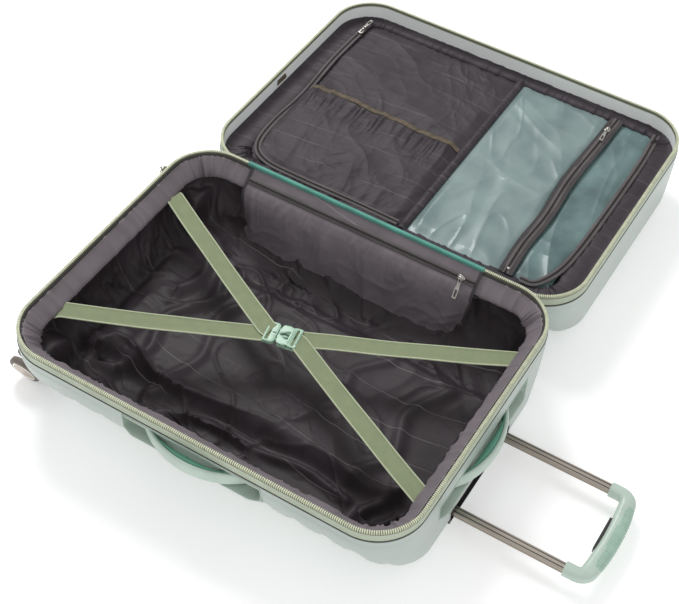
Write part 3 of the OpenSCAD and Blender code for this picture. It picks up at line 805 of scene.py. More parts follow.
def base_lining():
    """Loose cloth down the walls and over the floor, the trolley's tunnel and the wheel wells."""
    top, rise = BASE.edge - 13, 19
    rings = []
    for t in np.linspace(0, 1, 30) ** 0.9:
        z = top - (top - FLOOR_GAP) * t
        p = shell_ring(z, BASE, WALL + 13.5)[0]
        rings.append(np.c_[p, np.full(len(p), z + rise * t)])
    p = rings[-1][:, :2]
    for t in np.linspace(0, 1, 84)[1:]:
        q = p * max(1 - t, 0.002)
        rings.append(np.c_[q, np.full(len(q), FLOOR_GAP + rise)])
    points = np.array(rings)
    normal = grid_normals(points, False, True)
    if normal[-10, 10, 2] < 0:
        normal = -normal
    x, y, z = points[..., 0], points[..., 1], points[..., 2]
    down = 1 - smooth_step(60, top - 4, z)
    pitch = 3.6
    around = np.broadcast_to(np.arange(points.shape[1])[None] * pitch, x.shape)
    loop = points.shape[1] * pitch
    blend_ends = smooth_step(0, 60, around) * (1 - smooth_step(loop - 60, loop, around))
    large = 14 * folds(around, z * 0.45 + 300, 40, 51, 2.2, 0.8)
    wall_fold = (large + 6 * folds(around * 1.3, z * 0.7, 26, 61, 2.2, 0.8)) * blend_ends
    amount = base_folds(x, y)
    flat = smooth_step(0.5, 0.9, np.abs(normal[..., 2]))
    push = (wall_fold * (1 - flat) * smooth_step(0, 26, top - z) + amount * flat) * (0.35 + 0.65 * down)
    moved = points + normal * push[..., None]
    x, y = moved[..., 0], moved[..., 1]
    raised = np.maximum(tunnel(x, y), wells(x, y))
    slack = 0.55 * amount * smooth_step(10, 40, raised)
    soft = 18.0
    a, b = moved[..., 2], raised + slack * 0.8
    h = np.clip(0.5 + 0.5 * (b - a) / soft, 0, 1)
    moved[..., 2] = a * (1 - h) + b * h + soft * h * (1 - h) * (raised > 1)
    moved[..., 2] = np.minimum(moved[..., 2], top)
    moved[0] = points[0]
    faces = grid_faces(len(rings), points.shape[1], False, True)
    piece = make("base_lining_cloth", BASE.place(moved), faces, LINING, 85)
    ride(piece, "base", "lining", "base_lining")
    return piece


lining = base_lining()
cloth(lining)


# ---------------------------------------------------------------- trim band under the base's rim


def trim_band(half, name, steps, look_, gather, narrow=0.0):
    """Cloth that slopes in from the zipper, narrower on the far side: steps are (inset, height) points."""
    p, n, _, at = line_points(980)
    steps = np.array(steps, float)
    fine = np.linspace(0, len(steps) - 1, 15)
    inset = np.interp(fine, np.arange(len(steps)), steps[:, 0])
    z = np.interp(fine, np.arange(len(steps)), steps[:, 1])
    corner = np.abs(n[:, 0] * n[:, 1]) * 2
    share = np.linspace(0, 1, 15)
    loop = at[-1] + at[1]
    turn = np.stack([np.cos(at / loop * 2 * math.pi), np.sin(at / loop * 2 * math.pi)])
    fold = creases(turn[0] * 900, turn[1] * 900, 42, 77, 2, 0.5)
    gathers = creases(turn[0] * 2600, turn[1] * 2600, 30, 78, 2, 0.4)
    push = gather * (2.2 * fold + 4.5 * corner**3 * gathers)[:, None] * np.sin(share * math.pi * 0.8)[None]
    inset = inset[None] * (1 - narrow * smooth_step(0.3, 1.0, n[:, 1]))[:, None]
    xy = p[:, None] - n[:, None] * (inset + push)[..., None]
    points = np.concatenate([xy, (z + 0.6 * push)[..., None]], -1)
    return make(name, half.place(points), grid_faces(len(p), 15, True, False), look_, 80)


trim = trim_band(BASE, "base_trim_cloth", [(4.4, BASE.top - 7.5), (7, BASE.top - 9), (18, BASE.edge + 2),
                                            (28, BASE.edge - 9), (29, BASE.edge - 13),
                                           (13, BASE.edge - 14)], TRIM, 1.5)
ride(trim, "base", "lining", "base_trim_band")
cloth(trim)
binding = round_ring("base_binding", BASE, [(-4.2, BASE.top - 5.9), (-8.2, BASE.top - 9.0),
                                            (-8.6, BASE.top - 10.2),
                                           (-6.4, BASE.top - 10.4), (-4.2, BASE.top - 8.0)], BINDING)
ride(binding, "base", "lining")
shape, faces = bead(3.4, 0.7, 0.6)
stitches = along_line("base_stitches", BASE, shape + [-8.9, 0, BASE.top - 8.9], faces, 4.6, STITCH)
ride(stitches, "base", "lining")


# ---------------------------------------------------------------- pocket flap on the base's hinge side

FLAP_LOW, FLAP_HIGH = box_mm("pocket_flap")
FLAP_L = (FLAP_HIGH[0] - FLAP_LOW[0]) / 2
FLAP_X = (FLAP_LOW[0] + FLAP_HIGH[0]) / 2
FLAP_LINE = np.array([(5.0, 160.0), (8.5, 157.5), (15, 152), (23, 144.5), (30, 137), (35, 127),
                      (38.5, 116), (42, 100), (46, 84), (51, 64), (56, 48), (62, 34)])
FLAP_STEPS = way_along(FLAP_LINE)


def on_flap(x, down, out):
    """Points from places along the flap, down its face, which turns over the trim, and out from it."""
    x, down, out = np.broadcast_arrays(x, down, out)

    def at(steps, column):
        return np.interp(steps, FLAP_STEPS, FLAP_LINE[:, column])

    inset, z = at(down, 0), at(down, 1)
    more = np.maximum(down - FLAP_STEPS[-1], 0)
    di = at(down + 3, 0) - at(down - 3, 0)
    dz = at(down + 3, 1) - at(down - 3, 1)
    size = np.maximum(np.hypot(di, dz), 1e-6)
    inset, z = inset + more * 0.24 - out * dz / size, z - more * 0.97 + out * di / size
    return np.stack([FLAP_X + x, BASE.y + LINE_W - inset, z], -1)


def flap_place(u, v):
    """The flap's cloth: gathers under its zip, loose folds, and a belly that hangs out."""
    end = smooth_step(-FLAP_L, -FLAP_L + 26, u) * (1 - smooth_step(FLAP_L - 26, FLAP_L, u))
    under = smooth_step(27, 40, v)
    gathers = 3.0 * creases(u * 2.4, v * 0.25, 24, 91, 2, 0.4) * under * (1 - smooth_step(55, 100, v))
    loose = 8 * creases(u, v * 0.8, 90, 93, 3, 0.8) * smooth_step(24, 80, v)
    belly = 7 * np.sin(np.clip((v - 28) / 108, 0, 1) * math.pi) * end
    top = 1.2 * creases(u, v, 60, 95, 2, 0.5) * smooth_step(2, 12, v)
    out = 1.6 + gathers + loose * (0.4 + 0.6 * end) + belly + top - 5 * (1 - end) * smooth_step(36, 100, v)
    sag = v + 4.5 * smooth_step(80, 134, v) * noise(u / 60, v * 0, 97)
    return on_flap(u * (1 - 0.04 * smooth_step(50, 134, v)), sag, out)


flap_us, flap_vs = np.linspace(-FLAP_L, FLAP_L, 240), np.linspace(-2, 134, 78)
flap = patch("pocket_flap_cloth", flap_us, flap_vs, flap_place, FLAP)
ride(flap, "base", "lining", "pocket_flap")
cloth(flap)


def zip_strip(name, line, side, up, width, body, node=None, coil=2.2, wavy=0.0):
    """Two tapes and a row of teeth along a line of points; side and up are unit vectors at each point."""
    line, side, up = (np.asarray(a, float) for a in (line, side, up))
    steps = way_along(line)
    v = np.array([-1, -0.9, -0.5, -0.16, -0.12, 0.12, 0.16, 0.5, 0.9, 1]) * width / 2
    high = np.array([-0.4, 0.5, 0.7, 0.8, 0.2, 0.2, 0.8, 0.7, 0.5, -0.4])
    ripple = wavy * np.sin(steps / 17)[:, None] * np.linspace(-1, 1, 10)[None]
    points = line[:, None] + side[:, None] * v[None, :, None] + up[:, None] * (high[None] + ripple)[...,
                                                                                                    None]
    tape_ = make(name + "_tape", points, grid_faces(len(line), len(v)), ZIP_BAND, 60)
    pieces = [tape_]
    for shift in (-0.9, 0.9):
        t = np.linspace(0, steps[-1], int(steps[-1] / 1.9))
        c = np.stack([np.interp(t, steps, line[:, k]) for k in range(3)], -1)
        s = np.stack([np.interp(t, steps, side[:, k]) for k in range(3)], -1)
        w = np.stack([np.interp(t, steps, up[:, k]) for k in range(3)], -1)
        f = np.cross(w, s)
        shape_, faces_ = bead(1.3, 2.0, coil)
        shape_ = shape_ + [shift, 0.9 if shift > 0 else 0, 1.1]
        pts = c[:, None] + s[:, None] * shape_[:, :1] + f[:, None] * shape_[:, 1:2]
        pts = pts + w[:, None] * shape_[:, 2:]
        offs = (np.arange(len(t)) * len(shape_))[:, None, None]
        pieces.append(make("coil", pts, (np.asarray(faces_)[None] + offs).reshape(-1, 4), ZIP_COIL, 60))
    whole = join(name, pieces)
    ride(whole, body, "zip_band", *([node] if node else []))
    return whole


def loft(name, sections, look_):
    """A skin through sections, each an equal list of points, closed at both ends."""
    sections = np.asarray(sections, float)
    return make(name, sections, closed_grid(sections), look_, 40)


def pill(half_l, half_w, n=28, power=3.0):
    """A rounded section: an oval with squarer corners the higher its power is."""
    a = np.linspace(0, 2 * math.pi, n, endpoint=False)
    c, s = np.cos(a), np.sin(a)
    x, y = np.sign(c) * np.abs(c) ** (2 / power), np.sign(s) * np.abs(s) ** (2 / power)
    return np.c_[half_l * x, half_w * y]


def slider(name, origin, along, up, size, body, node):
    """A zip slider: a body that narrows towards the closed side, and a bridge over it."""
    along, up = np.array(along, float), np.array(up, float)
    side = np.cross(up, along)

    def put(a, s, h):
        a, s, h = np.broadcast_arrays(a, s, h)
        return np.array(origin) + a[..., None] * along + s[..., None] * side + h[..., None] * up

    length, width, height = size
    rings = []
    for h, grow in ((0, 0.9), (0.4, 1), (height * 0.42, 1), (height * 0.5, 0.93), (height * 0.55, 0.8)):
        o = pill(length / 2 * grow, width / 2 * grow, 30, 2.6)
        taper = 1 - 0.28 * (o[:, 0] / (length / 2))
        rings.append(put(o[:, 0], o[:, 1] * taper, h))
    pieces = [loft("body", rings, METAL)]
    bridge = []
    for t in np.linspace(0, math.pi, 17):
        a = -math.cos(t) * length * 0.36
        h = height * 0.5 + math.sin(t) * height * 0.5
        ring = pill(0.7, width * 0.14, 10, 2.2)
        bridge.append(put(a + ring[:, 0] * -math.cos(t), ring[:, 1], h + ring[:, 0] * math.sin(t)))
    pieces.append(loft("bridge", bridge, METAL))
    whole = join(name, pieces)
    return ride(whole, body, "zip_metal", node)


def puller(name, start, along, up, length, width, body, node=None, thick=1.5):
    """A pull tab from its ring at start, lying along a direction, with a slot near its far end."""
    neck, eye, half_w = width * 0.36, width * 0.2, width / 2
    end = rounded([(-neck, 0), (neck, 0), (neck, length * 0.34), (half_w, length * 0.5), (half_w, length),
                   (-half_w, length), (-half_w, length * 0.5), (-neck, length * 0.34)], width * 0.3)
    ring, slot = [rounded([(-eye, low), (-eye, high), (eye, high), (eye, low)], 1)
                  for low, high in ((1.3, length * 0.2), (length * 0.56, length * 0.9))]
    along, up = Vector(along), Vector(up)
    piece = filled(name, [end, ring, slot], thick, METAL, 0.4, frame_matrix(start, along.cross(up), along))
    return ride(piece, body, "zip_metal", *([node] if node else []))


u = np.linspace(-FLAP_L + 5, FLAP_L - 5, 220)
ZIP_DOWN = 21.0  # from the flap's top edge down to its zip
zip_near = flap_place(np.zeros(2), np.array([ZIP_DOWN - 4, ZIP_DOWN + 4]))
flap_down = zip_near[1] - zip_near[0]
flap_down /= np.linalg.norm(flap_down)
flap_out = np.array([0, flap_down[2], -flap_down[1]])
line = flap_place(u, np.full(220, ZIP_DOWN)) + flap_out * 0.7
zip_strip("pocket_zip_line", line, np.repeat(flap_down[None], 220, 0), np.repeat(flap_out[None], 220, 0),
          13, "base", "pocket_zip")
spot = flap_place(np.array([middle("pocket_slider")[0] - FLAP_X]), np.array([ZIP_DOWN]))[0] + flap_out * 1.6
slider("pocket_slider_metal", spot, (1, 0, 0), flap_out, (13, 9, 6), "pocket_slider", "pocket_slider")
hang = flap_place(np.zeros(2), np.array([ZIP_DOWN + 8, ZIP_DOWN + 44]))
hang_way = (hang[1] - hang[0]) / np.linalg.norm(hang[1] - hang[0])
hang_out = np.array([0, hang_way[2], -hang_way[1]])
hang_from = spot + flap_out * 4.0 + flap_down * 1.0 + hang_out * 1.5
puller("pocket_puller_metal", hang_from, hang_way, hang_out, 36, 8, "pocket_puller", "pocket_puller")

# the pocket's gathered cloth is held at its ends by short pale edge tapes
for side in (-1, 1):
    t = np.linspace(0, 100, 30)
    edge_line = flap_place(np.full(30, side * (FLAP_L - 2.0)), t) + flap_out * 0.8
    edge_tape = ribbon("pocket_edge_%s" % ("left" if side < 0 else "right"), edge_line,
                       np.repeat([[1.0, 0, 0]], 30, 0), 5, 0.8, BINDING)
    ride(edge_tape, "base", "lining")


def curve_line(points, n):
    """n points evenly along a smooth line through the points."""
    points = np.array(points, float)
    whole = []
    padded = np.vstack([2 * points[0] - points[1], points, 2 * points[-1] - points[-2]])
    for k in range(len(points) - 1):
        p0, p1, p2, p3 = padded[k : k + 4]
        t = np.linspace(0, 1, 24, endpoint=False)[:, None]
        square, cube = 2 * p0 - 5 * p1 + 4 * p2 - p3, 3 * p1 - p0 - 3 * p2 + p3
        whole.append(0.5 * (2 * p1 + (p2 - p0) * t + square * t**2 + cube * t**3))
    whole = np.vstack(whole + [points[-1:]])
    steps = way_along(whole)
    at = np.linspace(0, steps[-1], n)
    return np.stack([np.interp(at, steps, whole[:, k]) for k in range(points.shape[1])], -1)


# ---------------------------------------------------------------- hinge web

RIM_NEAR, RIM_FAR = BASE.y + LINE_W, LID.y - LINE_W
WEB_STEPS = 34
WEB_LINE = curve_line(
    [(RIM_NEAR + out, BASE.top + up) for out, up in ((-5.6, -5.5), (-5.2, 0.1), (-1, 0.9), (1.6, -1.5),
                                                     (3.5, -9))]
    + [(RIM_FAR + out, LID.top + up) for out, up in ((-5, 6), (-1.6, 0.2), (1.5, 0.9), (5.2, 0.2),
                                                     (5.6, -5))],
    WEB_STEPS)


def web_place(u, v):
    """v goes from 0 inside the base's rim, over both rims, to 1 inside the lid's."""
    y, z = [np.interp(v, np.linspace(0, 1, WEB_STEPS), WEB_LINE[:, k]) for k in (0, 1)]
    z = z + 0.5 * noise(u / 22, v * 2, 131) * np.sin(v * math.pi) ** 2
    return np.stack([u, y, z], -1)


web_us, web_vs = np.linspace(WEB_LOW[0], WEB_HIGH[0], 150), np.linspace(0, 1, WEB_STEPS)
web = patch("hinge_web_cloth", web_us, web_vs, web_place, HINGE)
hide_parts("hinge_web")
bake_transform(web)


# ---------------------------------------------------------------- cross straps and their buckle

buckle_low, buckle_high = box_mm("buckle_socket")
plug_low, plug_high = box_mm("buckle_plug")
YAW = math.radians(11)
BUCKLE_WAY = np.array([math.cos(YAW), math.sin(YAW)])
BUCKLE_AT = (np.minimum(buckle_low, plug_low) + np.maximum(buckle_high, plug_high)) / 2
BUCKLE_AT[2] = (buckle_low[2] + buckle_high[2]) / 2
STRAP_W = 32
BUCKLE_M = Matrix.Translation(Vector(BUCKLE_AT) * MM) @ Matrix.Rotation(YAW, 4, "Z")


def on_buckle(x, y, z):
    """A point given along, across and above the buckle."""
    return BUCKLE_AT + [x * BUCKLE_WAY[0] - y * BUCKLE_WAY[1], x * BUCKLE_WAY[1] + y * BUCKLE_WAY[0], z]


def strap(name, side, corner, level):
    """One webbing strap, from the buckle's bar to the lining near a corner of the base."""
    start = on_buckle(side * 20.5, corner * 2.0, 1.6 + level)
    bar = on_buckle(side * 29, corner * 5.0, 1.2 + level)
    reach = LINE_L - (31 if side < 0 else 24)
    end = np.array([BASE.x + side * reach, BASE.y + corner * 147, BASE.edge - 11])
    t = np.linspace(0, 1, 70)[:, None]
    run = bar + (end - bar) * t
    run[:, 2] += -3.5 * np.sin(t[:, 0] * math.pi) + noise(t[:, 0] * 5, t[:, 0] * 0 + corner + side, 141)
    tucked = end + (end - bar) / np.linalg.norm(end - bar) * [9, 9, 0] + [0, 0, -4]
    line = np.concatenate([[start], run, [tucked]])
    way = (end - bar)[:2] / np.linalg.norm((end - bar)[:2])
    flat_across = np.array([-way[1], way[0], 0.0])
    if flat_across[1] < 0:
        flat_across = -flat_across
    near = np.array([-BUCKLE_WAY[1], BUCKLE_WAY[0], 0.0])
    turn = smooth_step(0, 0.10, np.linspace(0, 1, len(line)))[:, None]
    across = near * (1 - turn) + flat_across * turn
    across[:, 2] += 0.05 * noise(np.linspace(0, 4, len(line)), np.zeros(len(line)) + corner, 143)
    piece = ribbon(name, line, across, STRAP_W - 1.5, 1.5, WEBBING, SELVEDGE)
    node = {-1: "wheel_end_straps", 1: "handle_end_straps"}[side]
    ride(piece, "base", "webbing", node)
    return piece


strap("strap_wheel_end_front", -1, -1, 0.0)
strap("strap_wheel_end_hinge_side", -1, 1, 1.9)
strap("strap_handle_end_front", 1, -1, 1.9)
strap("strap_handle_end_hinge_side", 1, 1, 0.0)


def buckle():
    """Side release buckle: a socket with a ladder bar and a plug with two side prongs."""

    def plate(loops, thickness, edge, lift, x=0, y=0, look_=BUCKLE):
        place = BUCKLE_M @ Matrix.Translation(Vector((x, y, 1.2 + lift)) * MM)
        return filled("plate", loops, thickness, look_, edge, place)

    bar_slot = block(19.2, -16.4, 23.4, 16.4, 1.6)
    socket_top = rounded([(-4, -19), (8, -20), (12, -17.5), (17, -20), (28, -20), (28, 20), (17, 20),
                          (12, 17.5), (8, 20), (-4, 19), (-7, 9), (-7, -9)], 3.2)
    window = rounded([(10.5, -9.2), (10.5, 9.2), (-5.5, 0)], 1.6)
    socket = [plate([socket_top, bar_slot, window], 3.2, 0.9, 3)]
    socket.append(plate([rounded([(-4, -19), (28, -20), (28, 20), (-4, 19)], 3.2), bar_slot], 3.2, 0.9, -4))
    for y in (-9, 9):
        socket.append(plate([block(-2, -4, 14, 4, 1.5)], 5.0, 0.6, -0.5, 4, y))
    socket.append(plate([block(12, -18, 18, 18, 2)], 7.6, 0.8, -0.6))
    for x in (13.6, 16.2, 25.8):
        socket.append(plate([block(x - 0.7, -13, x + 0.7, 13, 0.6)], 1.6, 0.4, 4.8))
    ride(join("buckle_socket_plastic", socket), "base", "buckle", "buckle_socket")

    body = rounded([(-28, -20), (-12, -20), (-8.4, -16), (-8.4, 16), (-12, 20), (-28, 20)], 3.0)
    plug = [plate([body, block(-24.2, -16.4, -19.6, 16.4, 1.6)], 7.6, 1.1, -0.4)]
    plug.append(plate([block(-17, -0.9, -11, 0.9, 0.8)], 1.4, 0.3, 3.2, look_=DARK))
    for side in (-1, 1):
        prong = [(-10, 12), (-2, 13.5), (3, 19.6), (9, 20.6), (11.4, 17.6), (9, 14.4), (5, 13.2), (1, 9.8),
                 (-10, 8.6)]
        loop = rounded([(x, side * y) for x, y in prong], 1.8)
        plug.append(plate([loop[::side]], 4.6, 0.9, -0.6))
    plug.append(plate([rounded([(-10, -2.6), (8, -2.0), (8, 2.0), (-10, 2.6)], 1)], 3.2, 0.6, -0.6))
    ride(join("buckle_plug_plastic", plug), "buckle_plug", "buckle", "buckle_plug")


buckle()


# ---------------------------------------------------------------- lid interior

LZ = LID_FLOOR
PANEL_IN = 306
PANEL_W, PANEL_FAR = 214, 233
DIVIDER_X, CLEAR_X = 18, 207


def lid_patch(name, x0, x1, y0, y1, nx, ny, height, look_):
    """Cloth or film over part of the lid, with its height given over x and y."""

    def place(u, v):
        return LID.place(np.stack([u, v, height(u, v)], -1))

    return patch(name, np.linspace(x0, x1, nx), np.linspace(y0, y1, ny), place, look_)


# the lid's inner wall uses the near-white painted-light material, so it looks lit
wall_ring = [(-5.0, LZ - 3), (-4.4, LZ - 3), (-4.0, LID.top - 8.4), (-4.9, LID.top - 8.4)]
ride(round_ring("lid_inner_wall", LID, wall_ring, PAINTED_LIGHT_WALL), "lid", "shell")

margin = trim_band(LID, "lid_margin_cloth", [(5.2, LZ + 4), (6.6, LZ + 1), (14, LZ - 1.5), (26, LZ + 0.5),
                                             (38, LZ + 1.0),
                                              (48, LZ - 2.0), (50, LZ - 6)], PANEL, 2.0, 0.42)
ride(margin, "lid", "lining", "lid_lining")
cloth(margin)


def divider_height(x, y):
    """The divider's cloth, with a gathered pocket below the elastic."""
    edge = smooth_step(-PANEL_IN - 6, -PANEL_IN + 30, x) * (1 - smooth_step(DIVIDER_X - 24, DIVIDER_X, x))
    edge = edge * smooth_step(-PANEL_W, -PANEL_W + 30, y) * (1 - smooth_step(PANEL_FAR - 24, PANEL_FAR, y))
    large = 10 * creases(x * 0.8 + y * 0.4, y, 150, 201, 3, 0.9)
    fine = 2.6 * creases(x, y * 0.8, 52, 203, 3, 0.9)
    line = 6 + 1.5 * np.sin((x + 300) / 90)
    below = smooth_step(0, 10, line - y)
    gather = 6.0 * creases(x * 2.2, y * 0.3, 28, 207, 2, 0.4) * below * (1 - smooth_step(6, 90, line - y))
    pocket = 7 * below * (1 - smooth_step(60, 205, line - y) * 0.6)
    drape = 8 * creases(x * 0.5 - y * 0.25, y * 0.7, 70, 209, 3, 0.8) * below
    return LZ - 4 + edge * (large + fine + gather + pocket + drape)


divider = lid_patch("divider_cloth", -PANEL_IN - 8, DIVIDER_X + 1, -PANEL_W - 2, PANEL_FAR + 2, 230, 300,
                    divider_height, PANEL)
ride(divider, "lid", "lining", "divider_panel")
cloth(divider)

t = np.linspace(-292, DIVIDER_X + 3, 130)
line_y = 6 + 1.5 * np.sin((t + 300) / 90)
top_line = LID.place(np.stack([t, line_y, divider_height(t, line_y - 6) + 1.4], -1))
elastic = ribbon("pocket_elastic", top_line, np.repeat([[0, 1.0, 0]], len(t), 0), 10, 0.8, ELASTIC)
ride(elastic, "lid", "elastic", "elastic_band")


def band_height(x, y):
    """A gathered band that arches between the divider and the film."""
    arch = np.sin(np.clip((x - DIVIDER_X + 3) / 17, 0, 1) * math.pi)
    return LZ - 2 + 5.5 * arch**0.7 + 2.6 * creases(x * 0.25, y * 2.6, 24, 221, 2, 0.3) * arch


band = lid_patch("gathered_cloth_band", DIVIDER_X - 3, DIVIDER_X + 14, -PANEL_W - 3, PANEL_FAR + 3, 20,
                 520, band_height, PANEL)
ride(band, "lid", "lining", "gathered_band")
cloth(band)


def film(seed, x0, x1, strength):
    """The height of a film that is held flat along its edges and buckles between them."""

    def height(x, y):
        inside = smooth_step(x0, x0 + 16, x) * (1 - smooth_step(x1 - 16, x1, x))
        inside = inside * smooth_step(-PANEL_W, -PANEL_W + 24,
                                      y) * (1 - smooth_step(PANEL_FAR - 20, PANEL_FAR, y))
        soft = creases(x * 0.8 + y * 0.5, y * 0.7 - x * 0.3, 150, seed, 2, 0.9) * 7
        streak = creases(x * 0.5 - y * 0.2, y * 0.5 + x, 110, seed + 3, 2, 0.9) * 4
        return LZ - 4 + inside * strength * (soft + streak)

    return height


clear = lid_patch("clear_film_panel", DIVIDER_X + 12, CLEAR_X + 2, -PANEL_W - 1, PANEL_FAR + 1, 120, 220,
                  film(231, DIVIDER_X + 12, CLEAR_X + 2, 1.0), PEVA)
ride(clear, "lid", "clear_film", "clear_panel")
cloth(clear)
lower = lid_patch("lower_film_panel", CLEAR_X + 16, PANEL_IN - 11, -PANEL_W - 1, PANEL_FAR + 1, 70, 220,
                  film(241, CLEAR_X + 16, PANEL_IN - 11, 0.8), PEVA_LOW)
ride(lower, "lid", "clear_film", "lower_clear_panel")
cloth(lower)


def lid_zip(name, points, n, lift, width, node, wavy=0.0):
    xy = curve_line(points, n)
    along = np.gradient(xy, axis=0)
    along /= np.linalg.norm(along, axis=1, keepdims=True)
    side = np.c_[-along[:, 1], along[:, 0], np.zeros(n)]
    line_ = LID.place(np.c_[xy, np.full(n, LZ + lift)])
    return zip_strip(name, line_, side, np.repeat([[0, 0, 1.0]], n, 0), width, "lid", node, 2.2, wavy)


lid_zip("divider_zip_line", [(-PANEL_IN + 4, PANEL_FAR - 8), (-PANEL_IN + 2, 100), (-PANEL_IN + 9, -20),
                             (-PANEL_IN + 5, -112),
                             (-PANEL_IN + 14, -176), (-PANEL_IN + 48, -204), (-190, -209), (-80, -208),
                             (DIVIDER_X - 4, -209)],
        330, 2.4, 13, "divider_zip")
CLEAR_LINE = np.array([(14, PANEL_FAR), (10, 130), (7, 40), (12, -60), (9, -140),
                       (13, -PANEL_W)]) + [CLEAR_X, 0]
lid_zip("clear_zip_line", CLEAR_LINE, 260, 3.6, 14, "clear_panel_zip", 0.5)
for shift, name in ((-9, "clear_zip_tapes"), (9, "clear_zip_border")):
    xy = curve_line(CLEAR_LINE + [shift, 0], 200)
    z = LZ + 3.0 + 1.1 * noise(xy[:, 1] / 30, xy[:, 1] * 0 + shift, 251)
    edge_band = ribbon(name, LID.place(np.c_[xy, z]), np.repeat([[1.0, 0, 0]], 200, 0), 7.5, 1.0, BINDING)
    ride(edge_band, "lid", "zip_band")
lid_zip("lower_zip_line", [(PANEL_IN - 8, PANEL_FAR), (PANEL_IN - 3, 150), (PANEL_IN - 3, 0),
                           (PANEL_IN - 6, -110), (PANEL_IN - 14, -165), (PANEL_IN - 34, -PANEL_W + 8),
                           (PANEL_IN - 60, -PANEL_W + 3)], 240, 3.4, 14, "lower_zip", 0.4)

for node, x, y, way in (("divider_slider", -PANEL_IN + 5.5, 191, 1),
                        ("clear_panel_slider", CLEAR_X + 10, 197, -1)):
    origin = LID.place([[x, y, LZ + 3.4]])[0]
    slider(node + "_metal", origin, (0, 1, 0), (0, 0, 1), (14, 10, 6.5), node.replace("_panel", ""), node)
    tab_start = LID.place([[x, y + way * 5, LZ + 8.2]])[0]
    tab_way = Vector((0.06, way, 0.0)).normalized()
    puller(node + "_tab", tab_start, tab_way, Vector((0, 0, 1)), 32, 7, node.replace("_panel", ""))
stop = revolve("zip_stop", [(0, 0.01), (0, 2.2), (1.2, 2.8), (2.2, 2.2), (2.4, 0.01)],
               LID.place([[CLEAR_X + 14, -203, LZ + 4.5]])[0], (0, 0, 1), METAL, 24)
ride(stop, "lid", "zip_metal")
tag_line = LID.place([[-LINE_L + 5.6, y, LZ + 15 + 0.4 * math.sin(y)] for y in np.linspace(-34, -6, 20)])
tag = ribbon("wall_patch", tag_line, np.repeat([[0, 0, 1.0]], 20, 0), 11, 0.8, ELASTIC)
ride(tag, "lid", "elastic")


# ---------------------------------------------------------------- main zip's slider and puller

spot_low, spot_high = box_mm("main_slider")
spot = (spot_low + spot_high) / 2
spot = [spot_high[0] - 1.0, spot[1], spot[2]]
slider("main_slider_metal", spot, (0, 1, 0), (-1, 0, 0), (14, 11, 6.8), "main_slider", "main_slider")
tab = middle("main_puller")
tab[2] = box_mm("main_puller")[1][2]
puller("main_puller_metal", tab, (0, 0, -1), (-1, 0, 0), 38, 8, "main_puller", "main_puller", 1.8)


# ---------------------------------------------------------------- carry handles


def rounded_box(u, v, cu, cv, hu, hv, r):
    """Distance outside a rounded rectangle, less than 0 inside it."""
    qu, qv = np.abs(u - cu) - hu + r, np.abs(v - cv) - hv + r
    return np.hypot(np.maximum(qu, 0), np.maximum(qv, 0)) + np.minimum(np.maximum(qu, qv), 0) - r


def tray(name, node, windows, way_u, way_out, plate):
    """A handle's tray: a rim, a raised plate in the middle and deep windows for the bar's ends."""
    low, high = box_mm(node)
    centre = (low + high) / 2
    way_u, way_out = np.array(way_u, float), np.array(way_out, float)
    length = abs((high - low) @ way_u)
    face = centre + way_out * abs((high - low) @ way_out) / 2
    u = np.linspace(-length / 2 - 1.2, length / 2 + 1.2, 330)
    v = np.linspace(-19.2, 19.2, 64)
    uu, vv = np.meshgrid(u, v, indexing="ij")
    rim = rounded_box(uu, vv, 0, 0, length / 2 - 0.5, 17.6, 7)
    depth = -0.9 * np.exp(-((rim + 1.2) / 1.3) ** 2)
    depth = depth + 2.4 * (1 - smooth_step(-3.4, -2.2, rim))
    depth = depth + 2.0 * smooth_step(0.2, 1.2, rim)
    for a, b, r in windows:
        hole = rounded_box(uu, vv, (a + b) / 2, 0, (b - a) / 2, 14.2, r)
        depth = depth + 10.5 * (1 - smooth_step(-1.6, 0.4, hole))
        depth = depth - 0.5 * np.exp(-((hole - 1.2) / 0.8) ** 2)
    foot = smooth_step(12.5, 17.0, -vv) * (1 - smooth_step(length / 2 - 22, length / 2 + 1, np.abs(uu)))
    depth = depth - 5.5 * foot
    a, b = plate
    mound = rounded_box(uu, vv, (a + b) / 2, 0, (b - a) / 2, 12.6, 6)
    depth = depth - 1.5 * (1 - smooth_step(-2.2, 0, mound))
    points = face + uu[..., None] * way_u + vv[..., None] * UP - depth[..., None] * way_out
    piece = make(name, points, grid_faces(len(u), len(v)), TRAY, 50)
    ride(piece, "base", "tray", node)
    return face


